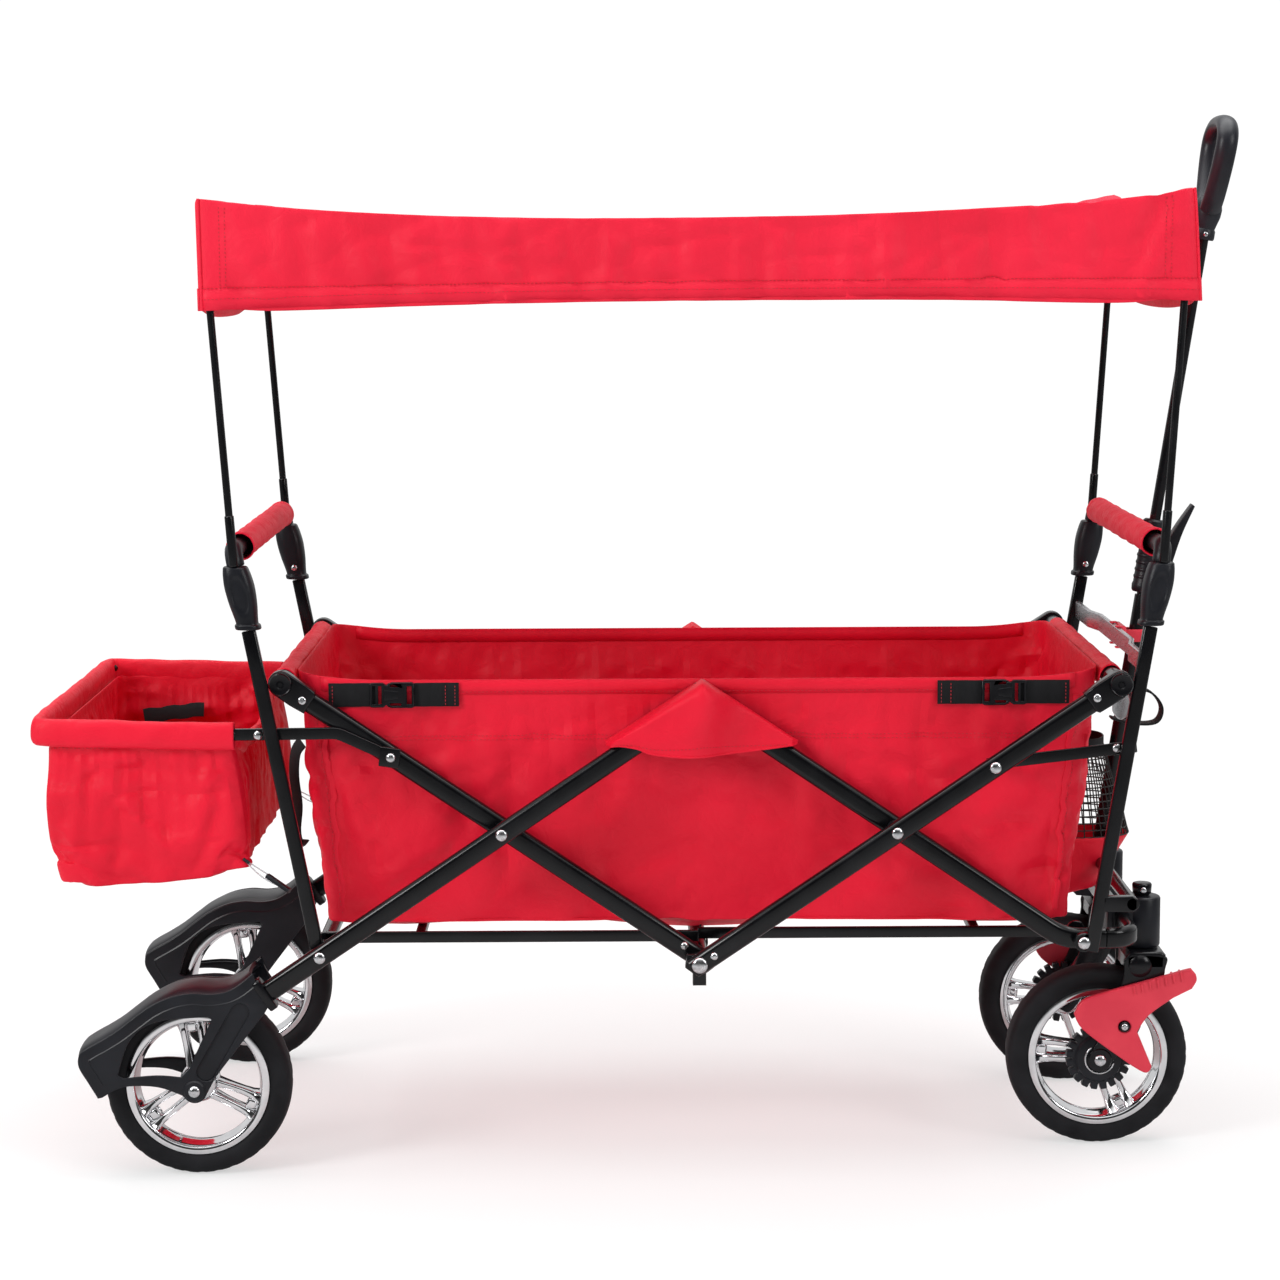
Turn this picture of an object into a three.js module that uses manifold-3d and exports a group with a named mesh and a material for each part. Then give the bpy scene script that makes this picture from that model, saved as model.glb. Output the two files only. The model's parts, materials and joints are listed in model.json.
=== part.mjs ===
// Folding four-wheel wagon: crossed side tubes, corner posts, fabric tub, basket, canopy and pull handle.
// Millimetres. +X is forwards (pull handle end), +Y is the wagon's left side, +Z is up.
// Shapes are drawn with x = 0 at the lower centre tube; the last step centres the whole on its footprint.
import * as THREE from "three";
import { mergeVertices } from "three/addons/utils/BufferGeometryUtils.js";
import Module from "manifold-3d";

const wasm = await Module();
wasm.setup();

// ---- driving dimensions ----
const GAP = 0.3; // between pieces that rest against each other
const BORE_PLAY = 0.35; // radial play of a pin in its hole

const WHEEL_RADIUS = 98;
const TYRE_WIDTH = 40;
const RIM_RADIUS = 76;
const RIM_INNER_RADIUS = 67;
const RIM_WIDTH = 34;
const HUB_RADIUS = 17;
const WHEEL_SEGMENTS = 28;
const REAR_AXLE = { x: -528, y: 228, z: WHEEL_RADIUS };
const FRONT_AXLE = { x: 434, y: 131, z: WHEEL_RADIUS };
const CASTER_X = 482;

// the crossed tubes, as seen from the side
const CROSS_ANGLE = THREE.MathUtils.degToRad(34.04);
const CENTRE_Z = 229;
const PIVOT_X = 205;
const RAIL_X = 434;
const REAR_POST_PIVOT_X = 395.3;
const LEG_BEND_X = 383;
const FRONT_POST_PIVOT = { x: 402, z: 247.3 };
const REAR_LINK_X = 320.3;
const FRONT_LINK_X = 306;
const TUBE_HEIGHT = 22;
const TUBE_WIDTH = 14;

// distances of the layers from the centre plane
const INNER_TUBE_Y = 232;
const OUTER_TUBE_Y = 265;
const POST_Y = 251;
const POST_DEPTH = 10;
const POST_WIDTH = 14.5;
const LINK_Y = 242.5;
const LINK_THICKNESS = 4;
const REAR_BAR_Y = 204;
const FRONT_BAR_Y = 191;
const FLOOR_BAR_WIDTH = 6;
const FLOOR_BAR_Z = { low: 240, high: 252 };

const PIN_RADIUS = 4;
const COLLAR_RADIUS = 8;
const HEAD_RADIUS = 6;
const HEAD_HEIGHT = 2.6;

// the corner posts lean outwards; each is a line x = foot + lean * (z - foot z)
const REAR_POST = { x: -419.7, z: 296, lean: -0.159 };
const FRONT_POST = { x: 426.8, z: 291.6, lean: 0.1417 };
const POST_LOW_Z = 237;
const SLEEVE_LOW_Z = 581;
const SLEEVE_HIGH_Z = 646;
const LEAN_GAP = 1.9; // room for the tilted end of a leaning tube
const PUSH_BAR_Z = 662;
const PUSH_BAR_RADIUS = 9.3;
const PUSH_BAR_Y = 242.5;
const GRIP_COVER_RADIUS = 13.5;
const GRIP_COVER_HALF = 200;
const ROD_RADIUS = 4;
const ROD_Y = 257.5;

const HANDLE_PIVOT = { x: 452.5, z: 288 };
const HANDLE_LEAN = THREE.MathUtils.degToRad(8.84);
const HANDLE_OUTER_RADIUS = 8;
const HANDLE_INNER_RADIUS = 6;
const HANDLE_BORE_RADIUS = 6.5;
const HANDLE_OUTER_LENGTH = 385;
const HANDLE_CLAMP_LOW = 305;
const HANDLE_COLLAR_START = 708;
const HANDLE_GRIP_LENGTH = 125;

const TUB = { half_y: 219, low_z: 262, high_z: 524, low_x: 392, high_x: 420, wall: 4 };
const CANOPY = { half_y: 266, wall: 3 };
const BASKET = { half_y: 233, wall: 4, top_z: 472 };

// ---- materials ----
const paint = (color, roughness, metalness) =>
  new THREE.MeshStandardMaterial({ color, roughness, metalness });
const BLACK_PAINT = paint(0x111215, 0.35, 0.6);
const BLACK_PLASTIC = paint(0x16181c, 0.5, 0);
const CHROME = paint(0xd8dadd, 0.12, 1);
const RUBBER = paint(0x17171a, 0.85, 0);
const RED_FABRIC = paint(0xd81226, 0.8, 0);
const RED_PLASTIC = paint(0xb5202b, 0.45, 0);
const SILVER = paint(0xb9bcc0, 0.35, 0.9);

// ---- solids ----

/** A three.js geometry as a manifold solid, turned to face out. */
function solid(geometry) {
  const bare = geometry.index ? geometry.toNonIndexed() : geometry.clone();
  bare.deleteAttribute("normal");
  bare.deleteAttribute("uv");
  const merged = mergeVertices(bare, 1e-3);
  const vertices = merged.getAttribute("position").array;
  const triangles = Uint32Array.from(merged.index.array);
  if (signedVolume(vertices, triangles) < 0) {
    for (let i = 0; i < triangles.length; i += 3) {
      [triangles[i], triangles[i + 1]] = [triangles[i + 1], triangles[i]];
    }
  }
  return new wasm.Manifold(
    new wasm.Mesh({ numProp: 3, vertProperties: Float32Array.from(vertices), triVerts: triangles }),
  );
}

function signedVolume(vertices, triangles) {
  const [a, b, c] = [new THREE.Vector3(), new THREE.Vector3(), new THREE.Vector3()];
  let sum = 0;
  for (let i = 0; i < triangles.length; i += 3) {
    a.fromArray(vertices, 3 * triangles[i]);
    b.fromArray(vertices, 3 * triangles[i + 1]);
    c.fromArray(vertices, 3 * triangles[i + 2]);
    sum += a.dot(b.cross(c));
  }
  return sum;
}

function toGeometry(manifold) {
  const { vertProperties, triVerts } = manifold.getMesh();
  const geometry = new THREE.BufferGeometry();
  geometry.setAttribute("position", new THREE.BufferAttribute(vertProperties, 3));
  geometry.setIndex(new THREE.BufferAttribute(triVerts, 1));
  geometry.computeVertexNormals();
  return geometry;
}

const union = (first, ...rest) => rest.reduce((all, next) => all.add(next), first);

/** Lateral cylinder between two y values. */
function pinAcross(radius, y0, y1, x, z, segments = 10) {
  const geometry = new THREE.CylinderGeometry(radius, radius, Math.abs(y1 - y0), segments);
  geometry.translate(x, (y0 + y1) / 2, z);
  return solid(geometry);
}

/** Domed rivet head standing on the plane y, on the side that `side` points to. */
function rivetHead(side, y, x, z, radius = HEAD_RADIUS) {
  const low = side * (Math.abs(y) - 0.1);
  const high = side * (Math.abs(y) + HEAD_HEIGHT);
  const geometry = new THREE.CylinderGeometry(
    side > 0 ? radius * 0.55 : radius, side > 0 ? radius : radius * 0.55, HEAD_HEIGHT + 0.1, 8);
  geometry.translate(x, (low + high) / 2, z);
  return solid(geometry);
}

function cylinderUp(radius, z0, z1, x, y, segments = 14) {
  const geometry = new THREE.CylinderGeometry(radius, radius, z1 - z0, segments);
  geometry.rotateX(Math.PI / 2);
  geometry.translate(x, y, (z0 + z1) / 2);
  return solid(geometry);
}

function block(x0, x1, y0, y1, z0, z1) {
  const geometry = new THREE.BoxGeometry(x1 - x0, Math.abs(y1 - y0), z1 - z0);
  geometry.translate((x0 + x1) / 2, (y0 + y1) / 2, (z0 + z1) / 2);
  return solid(geometry);
}

/** A side outline drawn in x and z, made solid between two y values. */
function plate(shape, y0, y1, curveSegments = 6) {
  const depth = Math.abs(y1 - y0);
  const geometry = new THREE.ExtrudeGeometry(shape, { depth, bevelEnabled: false, curveSegments });
  geometry.rotateX(Math.PI / 2);
  geometry.translate(0, Math.max(y0, y1), 0);
  return solid(geometry);
}

/** A route given by its corner points, each followed in turn as an extrude path. */
class Route extends THREE.Curve {
  constructor(points) {
    super();
    this.points = points;
  }

  getPointAt(u, target = new THREE.Vector3()) {
    const place = u * (this.points.length - 1);
    const i = Math.min(Math.floor(place), this.points.length - 2);
    return target.lerpVectors(this.points[i], this.points[i + 1], place - i);
  }

  getTangentAt(u, target = new THREE.Vector3()) {
    const i = Math.round(u * (this.points.length - 1));
    const before = this.points[Math.max(i - 1, 0)];
    const after = this.points[Math.min(i + 1, this.points.length - 1)];
    const here = this.points[i];
    const incoming = here.clone().sub(before).normalize();
    const outgoing = after.clone().sub(here).normalize();
    return target.addVectors(incoming, outgoing).normalize();
  }
}

/** Corner points with each inner corner rounded to an arc of the given radius. */
function rounded(points, radius, steps = 4) {
  const out = [points[0]];
  for (let i = 1; i < points.length - 1; i += 1) {
    const into = points[i - 1].clone().sub(points[i]).normalize();
    const away = points[i + 1].clone().sub(points[i]).normalize();
    const half = into.angleTo(away) / 2;
    const reach = radius / Math.tan(half);
    const start = points[i].clone().addScaledVector(into, reach);
    const end = points[i].clone().addScaledVector(away, reach);
    const bisector = into.clone().add(away).normalize();
    const middle = points[i].clone().addScaledVector(bisector, radius / Math.sin(half));
    const [from, to] = [start.sub(middle), end.sub(middle)];
    const sweep = from.angleTo(to);
    for (let k = 0; k <= steps; k += 1) {
      const share = k / steps;
      const a = Math.sin((1 - share) * sweep) / Math.sin(sweep);
      const b = Math.sin(share * sweep) / Math.sin(sweep);
      out.push(middle.clone().addScaledVector(from, a).addScaledVector(to, b));
    }
  }
  out.push(points[points.length - 1]);
  return out;
}

function tube(section, points) {
  const extrudePath = new Route(points);
  const options = { extrudePath, steps: points.length - 1, curveSegments: 1, bevelEnabled: false };
  return solid(new THREE.ExtrudeGeometry(section, options));
}

function roundSection(radius, sides = 12) {
  const shape = new THREE.Shape();
  for (let i = 0; i < sides; i += 1) {
    const angle = (2 * Math.PI * i) / sides;
    const [x, y] = [radius * Math.cos(angle), radius * Math.sin(angle)];
    if (i === 0) shape.moveTo(x, y);
    else shape.lineTo(x, y);
  }
  return shape;
}

/** Rectangle with rounded corners; `across` lies along the path's first normal. */
function boxSection(across, height, corner) {
  const [a, h] = [across / 2, height / 2];
  const shape = new THREE.Shape();
  shape.moveTo(-a + corner, -h);
  shape.lineTo(a - corner, -h);
  shape.absarc(a - corner, -h + corner, corner, -Math.PI / 2, 0);
  shape.absarc(a - corner, h - corner, corner, 0, Math.PI / 2);
  shape.absarc(-a + corner, h - corner, corner, Math.PI / 2, Math.PI);
  shape.absarc(-a + corner, -h + corner, corner, Math.PI, 1.5 * Math.PI);
  return shape;
}

const at = (x, y, z) => new THREE.Vector3(x, y, z);

function outline(points) {
  const shape = new THREE.Shape();
  shape.moveTo(points[0][0], points[0][1]);
  for (const [x, z] of points.slice(1)) shape.lineTo(x, z);
  shape.closePath();
  return shape;
}

/** Outline smoothed through its points, for moulded shapes. */
function moulded(points) {
  const corners = points.map(([x, z]) => new THREE.Vector3(x, z, 0));
  const curve = new THREE.CatmullRomCurve3(corners, true, "centripetal");
  return outline(curve.getPoints(points.length * 2).slice(0, -1).map((p) => [p.x, p.y]));
}

// ---- scene ----
const wagon = new THREE.Group();

function add(name, shape, material, parent = wagon) {
  const mesh = new THREE.Mesh(toGeometry(shape), material);
  mesh.name = name;
  parent.add(mesh);
  return mesh;
}

const SIDES = [["right", -1], ["left", 1]];

/** Point of the crossed tubes that rise outwards from the lower centre tube. */
const braceZ = (x) => CENTRE_Z + Math.abs(x) * Math.tan(CROSS_ANGLE);
/** Point of the crossed tubes that fall outwards from the upper centre pivot. */
const legZ = (x) => CENTRE_Z + (2 * PIVOT_X - Math.abs(x)) * Math.tan(CROSS_ANGLE);
const TOP_PIVOT_Z = legZ(0);
const PIVOT_Z = braceZ(PIVOT_X);
const RAIL_Z = braceZ(RAIL_X);
const REAR_POST_PIVOT_Z = legZ(REAR_POST_PIVOT_X);

const flatTube = boxSection(TUBE_WIDTH, TUBE_HEIGHT, 5);
const hole = (side, layer, x, z, radius = PIN_RADIUS) =>
  pinAcross(radius + BORE_PLAY, side * (layer - 9), side * (layer + 9), x, z);

/** Pin from an outer tube through a spacer into the inner tube, with heads at both ends. */
function pivotPin(side, x, z) {
  const inner = INNER_TUBE_Y - TUBE_WIDTH / 2;
  const outer = OUTER_TUBE_Y + TUBE_WIDTH / 2;
  return union(
    pinAcross(PIN_RADIUS, side * (inner - 2), side * outer, x, z),
    pinAcross(COLLAR_RADIUS, side * (INNER_TUBE_Y + 7 + GAP), side * (OUTER_TUBE_Y - 6), x, z),
    pinAcross(HEAD_RADIUS, side * (inner - 3), side * (inner - GAP), x, z),
    rivetHead(side, outer, x, z),
  );
}

function centreTube() {
  let tubeBody = pinAcross(9, -222, 222, 0, CENTRE_Z, 20);
  for (const [, side] of SIDES) {
    const foot = moulded([
      [-14, CENTRE_Z + 10], [14, CENTRE_Z + 10], [17, CENTRE_Z - 4], [6, CENTRE_Z - 17], [-6, CENTRE_Z - 17],
      [-17, CENTRE_Z - 4],
    ]);
    tubeBody = union(
      tubeBody,
      pinAcross(PIN_RADIUS, side * 220, side * 273, 0, CENTRE_Z),
      plate(foot, side * (INNER_TUBE_Y + 7 + GAP), side * (OUTER_TUBE_Y - 7 - GAP), 3),
      pinAcross(HEAD_RADIUS, side * (OUTER_TUBE_Y + 7 + GAP), side * 275, 0, CENTRE_Z),
    );
  }
  return tubeBody;
}

/** Straight side tube from just past the lower centre tube up to the end rail. */
function braceTube(side, direction, layer) {
  const past = 9;
  const start = at(-direction * past * 0.83, side * layer, CENTRE_Z - past * 0.56);
  const end = at(direction * (RAIL_X + 4), side * layer, braceZ(RAIL_X + 4));
  return tube(flatTube, [start, end]).subtract(hole(side, layer, 0, CENTRE_Z));
}

function rail(direction, layer) {
  const reach = layer - TUBE_WIDTH / 2 - GAP;
  return pinAcross(10, -reach, reach, direction * RAIL_X, RAIL_Z, 20);
}

add("centre_cross_tube", centreTube(), BLACK_PAINT);

for (const [name, side] of SIDES) {
  const linkPin = union(
    pinAcross(3, side * (INNER_TUBE_Y + 6), side * (LINK_Y + 5), -REAR_LINK_X, braceZ(REAR_LINK_X)),
    pinAcross(5, side * (LINK_Y + 2 + GAP), side * (LINK_Y + 5), -REAR_LINK_X, braceZ(REAR_LINK_X)),
  );
  const rearBrace = braceTube(side, -1, INNER_TUBE_Y)
    .subtract(hole(side, INNER_TUBE_Y, -PIVOT_X, PIVOT_Z))
    .add(linkPin);
  add(`rear_brace_tube_${name}`, rearBrace, BLACK_PAINT);

  const frontLinkPin = union(
    pinAcross(3, side * (LINK_Y - 5), side * (OUTER_TUBE_Y - 6), FRONT_LINK_X, braceZ(FRONT_LINK_X)),
    pinAcross(6, side * (LINK_Y + 2 + GAP), side * (OUTER_TUBE_Y - 6), FRONT_LINK_X, braceZ(FRONT_LINK_X)),
  );
  const frontBrace = braceTube(side, 1, OUTER_TUBE_Y)
    .add(pivotPin(side, PIVOT_X, PIVOT_Z))
    .add(frontLinkPin)
    .add(rivetHead(side, OUTER_TUBE_Y + 7, FRONT_LINK_X, braceZ(FRONT_LINK_X)));
  add(`front_brace_tube_${name}`, frontBrace, BLACK_PAINT);
}
add("rear_rail", rail(-1, INNER_TUBE_Y), BLACK_PAINT);
add("front_rail", rail(1, OUTER_TUBE_Y), BLACK_PAINT);

// ---- rear legs, forks and wheels ----
const LEG_FOOT_X = -452;
const SOCKET_X = -436;
const CROSS_TUBE_END_RADIUS = 5;
const CROSS_TUBE_END_Y = 265;

function rearLeg(side) {
  const start = at(LEG_FOOT_X, side * OUTER_TUBE_Y, legZ(LEG_FOOT_X));
  const end = at(9, side * OUTER_TUBE_Y, TOP_PIVOT_Z + 9 * Math.tan(CROSS_ANGLE));
  const pins = union(
    pivotPin(side, -PIVOT_X, PIVOT_Z),
    pivotPin(side, 0, TOP_PIVOT_Z),
    rivetHead(side, OUTER_TUBE_Y + 7, -REAR_POST_PIVOT_X, REAR_POST_PIVOT_Z),
  );
  const crossTubeHole = pinAcross(
    CROSS_TUBE_END_RADIUS + BORE_PLAY, side * (POST_Y - 1), side * (CROSS_TUBE_END_Y + 1),
    -REAR_POST_PIVOT_X, REAR_POST_PIVOT_Z);
  return union(tube(flatTube, [start, end]), pins).subtract(crossTubeHole);
}

function rearCrossTube() {
  const [x, z] = [-REAR_POST_PIVOT_X, REAR_POST_PIVOT_Z];
  return union(
    pinAcross(CROSS_TUBE_END_RADIUS, -CROSS_TUBE_END_Y, CROSS_TUBE_END_Y, x, z),
    pinAcross(8.5, -(POST_Y - 5 - GAP), POST_Y - 5 - GAP, x, z),
  );
}

/** Moulded fork and mudguard around a rear wheel; the leg tube sits in its head. */
function rearFork(side) {
  const inner = side * (REAR_AXLE.y - 38);
  const outer = side * (REAR_AXLE.y + 36);
  const guard = moulded([
    [-440, 190], [-449, 216], [-468, 230], [-509, 222], [-543, 216], [-577, 202], [-605, 179],
    [-628, 154], [-650, 138], [-646, 118], [-630, 90], [-602, 99], [-568, 99], [-541, 89],
    [-528, 84], [-512, 95], [-482, 135],
  ]);
  const window = moulded([
    [-606, 115], [-592, 154], [-562, 174], [-512, 176], [-534, 122], [-548, 113], [-580, 116],
  ]);
  const wheelRoom = pinAcross(
    WHEEL_RADIUS + 6, side * (REAR_AXLE.y - 25), side * (REAR_AXLE.y + 25),
    REAR_AXLE.x, REAR_AXLE.z, WHEEL_SEGMENTS);
  const postRoom = block(-450, -400, side * 180, side * (POST_Y + 6), 160, 300);
  const head = tube(boxSection(TUBE_WIDTH + 9, TUBE_HEIGHT + 9, 7), [
    at(-474, side * OUTER_TUBE_Y, legZ(-474)),
    at(SOCKET_X, side * OUTER_TUBE_Y, legZ(SOCKET_X)),
  ]).subtract(block(-480, -430, side * 240, side * (POST_Y + 6), 150, 260));
  const socket = tube(boxSection(TUBE_WIDTH + 2 * GAP, TUBE_HEIGHT + 2 * GAP, 5), [
    at(LEG_FOOT_X - GAP, side * OUTER_TUBE_Y, legZ(LEG_FOOT_X - GAP)),
    at(-420, side * OUTER_TUBE_Y, legZ(-420)),
  ]);
  return plate(guard, inner, outer)
    .subtract(plate(window, inner - side, outer + side))
    .subtract(postRoom)
    .add(head)
    .subtract(wheelRoom)
    .subtract(socket)
    .add(pinAcross(5, inner + side, outer - side, REAR_AXLE.x, REAR_AXLE.z))
    .add(rivetHead(side, outer, REAR_AXLE.x, REAR_AXLE.z));
}

/** Closed ring profile turned about the axle, standing on a facet: pairs of radius and lateral place. */
function turned(pairs, segments) {
  const points = [...pairs, pairs[0]].map(([r, y]) => new THREE.Vector2(r, y));
  return solid(new THREE.LatheGeometry(points, segments, Math.PI / segments));
}

function tyre() {
  const half = TYRE_WIDTH / 2;
  const low = RIM_RADIUS + GAP;
  const tread = WHEEL_RADIUS / Math.cos(Math.PI / WHEEL_SEGMENTS); // so that a facet rests on the ground
  const shoulder = tread - 3;
  return turned([
    [low, -15], [84, -half], [shoulder, -half + 6], [tread, -6], [tread, 6],
    [shoulder, half - 6], [84, half], [low, 15],
  ], WHEEL_SEGMENTS);
}

function gearShape(teeth, tipRadius, rootRadius) {
  const points = [];
  for (let i = 0; i < teeth; i += 1) {
    for (const [share, radius] of [[0, rootRadius], [0.35, tipRadius], [0.65, rootRadius]]) {
      const angle = (2 * Math.PI * (i + share)) / teeth;
      points.push([radius * Math.cos(angle), radius * Math.sin(angle)]);
    }
  }
  return outline(points);
}

/** Three pairs of spokes between the hub and the rim, first pair at the given angle. */
function rim(firstAngle, side, withGear) {
  const half = RIM_WIDTH / 2;
  let wheel = turned([
    [RIM_INNER_RADIUS, -half], [RIM_RADIUS, -half], [RIM_RADIUS, half], [RIM_INNER_RADIUS, half],
  ], WHEEL_SEGMENTS);
  wheel = wheel.add(pinAcross(HUB_RADIUS, -half + 1, half - 1, 0, 0, 14));
  for (let i = 0; i < 6; i += 1) {
    const turn = THREE.MathUtils.degToRad(firstAngle + 120 * Math.floor(i / 2) + (i % 2 ? 11 : -11));
    const spoke = new THREE.BoxGeometry(RIM_INNER_RADIUS - 7, 12, 9);
    spoke.translate(RIM_INNER_RADIUS / 2 + 5.5, 0, 0);
    spoke.rotateY(-turn);
    wheel = wheel.add(solid(spoke));
  }
  if (withGear) wheel = wheel.add(plate(gearShape(14, 35, 28), side * (half - 2), side * (half + 8)));
  return wheel.subtract(pinAcross(5 + BORE_PLAY, -40, 40, 0, 0));
}

function addWheel(name, side, axle, firstAngle, withGear) {
  const wheel = new THREE.Group();
  wheel.position.set(axle.x, side * axle.y, axle.z);
  add(`${name}_rim`, rim(firstAngle, side, withGear), CHROME, wheel);
  add(`${name}_tyre`, tyre(), RUBBER, wheel);
  wagon.add(wheel);
}

for (const [name, side] of SIDES) {
  add(`rear_leg_${name}`, rearLeg(side), BLACK_PAINT);
  add(`rear_fork_${name}`, rearFork(side), BLACK_PLASTIC);
  addWheel(`rear_wheel_${name}`, side, REAR_AXLE, 96, false);
}
add("rear_cross_tube", rearCrossTube(), BLACK_PAINT);

// ---- front legs, casters and brakes ----
const LEG_END_X = 428;
const CROSS_TUBE_X = 458;

function frontLeg(side) {
  const y = side * INNER_TUBE_Y;
  const bendZ = FRONT_POST_PIVOT.z;
  const route = rounded([
    at(-9, y, TOP_PIVOT_Z + 9 * Math.tan(CROSS_ANGLE)),
    at(2 * PIVOT_X - (bendZ - CENTRE_Z) / Math.tan(CROSS_ANGLE), y, bendZ),
    at(LEG_END_X, y, bendZ),
  ], 60, 4);
  const pivot = FRONT_POST_PIVOT;
  return tube(flatTube, route)
    .subtract(hole(side, INNER_TUBE_Y, PIVOT_X, PIVOT_Z))
    .subtract(hole(side, INNER_TUBE_Y, 0, TOP_PIVOT_Z))
    .add(pinAcross(5, side * (FRONT_BAR_Y - 6), side * 257, pivot.x, pivot.z))
    .add(pinAcross(HEAD_RADIUS + 1, side * (POST_Y + 5 + GAP), side * 258, pivot.x, pivot.z));
}

function frontCrossTube() {
  const z = FRONT_POST_PIVOT.z;
  const route = rounded([
    at(LEG_END_X + GAP, -INNER_TUBE_Y, z),
    at(CROSS_TUBE_X, -INNER_TUBE_Y, z),
    at(CROSS_TUBE_X, INNER_TUBE_Y, z),
    at(LEG_END_X + GAP, INNER_TUBE_Y, z),
  ], 28, 5);
  return tube(boxSection(TUBE_HEIGHT, TUBE_WIDTH, 5), route);
}

/** Vertical bearing sleeve with the clamp that grips the front cross tube. */
function casterHousing(side) {
  const y = side * FRONT_AXLE.y;
  const z = FRONT_POST_PIVOT.z;
  const armOutline = outline([[442, 230], [447, 218], [484, 218], [484, 271], [458, 271], [442, 264]]);
  const arm = plate(armOutline, y - 15, y + 15);
  const [halfWidth, halfHeight] = [TUBE_WIDTH / 2 + GAP, TUBE_HEIGHT / 2 + GAP];
  const tubeRoom = block(
    CROSS_TUBE_X - halfWidth, CROSS_TUBE_X + halfWidth, y - 20, y + 20, z - halfHeight, z + halfHeight);
  return arm
    .add(cylinderUp(19, 217, 272, CASTER_X, y, 24))
    .subtract(tubeRoom)
    .subtract(cylinderUp(8 + BORE_PLAY, 200, 290, CASTER_X, y, 20));
}

/** Swivelling fork: stem, crown over the tyre and two legs down to the axle. */
function casterFork(side) {
  const centre = FRONT_AXLE.y;
  const y = side * centre;
  const legOutline = moulded([
    [FRONT_AXLE.x - 11, FRONT_AXLE.z + 3], [FRONT_AXLE.x - 2, FRONT_AXLE.z - 11],
    [FRONT_AXLE.x + 11, FRONT_AXLE.z - 6], [478, 136], [503, 186], [503, 210],
    [462, 210], [460, 186], [446, 140],
  ]);
  const crownOutline = outline([[460, 202], [503, 202], [503, 214], [460, 214]]);
  const [inner, outer] = [side * (centre - 31), side * (centre + 35)];
  return union(
    plate(crownOutline, inner, outer),
    plate(legOutline, inner, side * (centre - 25)),
    plate(legOutline, side * (centre + 28), outer),
    cylinderUp(16, 213, 217 - GAP, CASTER_X, y, 20),
    cylinderUp(8, 212, 273, CASTER_X, y, 20),
    cylinderUp(9, 272 + GAP, 286, CASTER_X, y, 20),
    pinAcross(5, side * (centre - 30), side * (centre + 34), FRONT_AXLE.x, FRONT_AXLE.z),
    rivetHead(side, outer, FRONT_AXLE.x, FRONT_AXLE.z),
    pinAcross(PIN_RADIUS, side * (centre + 34), side * (centre + 45), BRAKE_PIVOT.x, BRAKE_PIVOT.z),
  );
}

const BRAKE_PIVOT = { x: 458.6, z: 136.7 };

function brakePedal(side) {
  const near = FRONT_AXLE.y + 35.4;
  const shape = moulded([
    [404, 152], [414, 164], [433, 174], [480, 188], [528, 201], [538, 192], [531, 178], [498, 158],
    [472, 134], [489, 92], [480, 86], [456, 100], [433, 116], [413, 134],
  ]);
  const tread = plate(
    outline([[508, 191], [531, 197], [536, 187], [512, 181]]), side * (near - 12), side * (near + 2));
  return plate(shape, side * near, side * (near + 8))
    .add(tread)
    .subtract(pinAcross(PIN_RADIUS + BORE_PLAY, side * 150, side * 190, BRAKE_PIVOT.x, BRAKE_PIVOT.z));
}

for (const [name, side] of SIDES) {
  add(`front_leg_${name}`, frontLeg(side), BLACK_PAINT);
  add(`caster_housing_${name}`, casterHousing(side), BLACK_PLASTIC);
  add(`caster_fork_${name}`, casterFork(side), BLACK_PLASTIC);
  add(`brake_pedal_${name}`, brakePedal(side), RED_PLASTIC);
  addWheel(`front_wheel_${name}`, side, FRONT_AXLE, 60, true);
}
add("front_cross_tube", frontCrossTube(), BLACK_PAINT);

// ---- corner posts, sleeves, push bars and canopy rods ----
const postX = (post, z) => post.x + post.lean * (z - post.z);

function cornerPost(side, post, pivot, holeRadius) {
  const y = side * POST_Y;
  const bar = tube(boxSection(POST_DEPTH, POST_WIDTH, 1.5), [
    at(postX(post, POST_LOW_Z), y, POST_LOW_Z),
    at(postX(post, SLEEVE_LOW_Z - LEAN_GAP), y, SLEEVE_LOW_Z - LEAN_GAP),
  ]);
  const lugX = postX(post, pivot.z);
  const lug = plate(
    outline([[pivot.x, pivot.z - 9], [lugX, pivot.z - 9], [lugX, pivot.z + 12], [pivot.x, pivot.z + 9]]),
    y - 4.5, y + 4.5);
  const eye = pinAcross(10, y - 4.5, y + 4.5, pivot.x, pivot.z, 18);
  return union(bar, lug, eye).subtract(pinAcross(holeRadius + BORE_PLAY, y - 9, y + 9, pivot.x, pivot.z, 18));
}

function postSleeve(side, post) {
  const centre = side * (POST_Y - 3);
  const levels = [
    [SLEEVE_LOW_Z, 13], [SLEEVE_LOW_Z + 5, 13], [SLEEVE_LOW_Z + 6, 12],
    [600, 13.5], [628, 15], [SLEEVE_HIGH_Z, 12],
  ];
  const left = levels.map(([z, half]) => [postX(post, z) - half, z]);
  const right = levels.map(([z, half]) => [postX(post, z) + half, z]).reverse();
  return plate(outline([...left, ...right]), centre - 15, centre + 15);
}

function pushBar(post) {
  const x = (z) => postX(post, z);
  const low = SLEEVE_HIGH_Z + LEAN_GAP;
  const route = rounded([
    at(x(low), -PUSH_BAR_Y, low),
    at(x(PUSH_BAR_Z), -PUSH_BAR_Y, PUSH_BAR_Z),
    at(x(PUSH_BAR_Z), PUSH_BAR_Y, PUSH_BAR_Z),
    at(x(low), PUSH_BAR_Y, low),
  ], 14, 5);
  return tube(roundSection(PUSH_BAR_RADIUS, 12), route);
}

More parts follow.
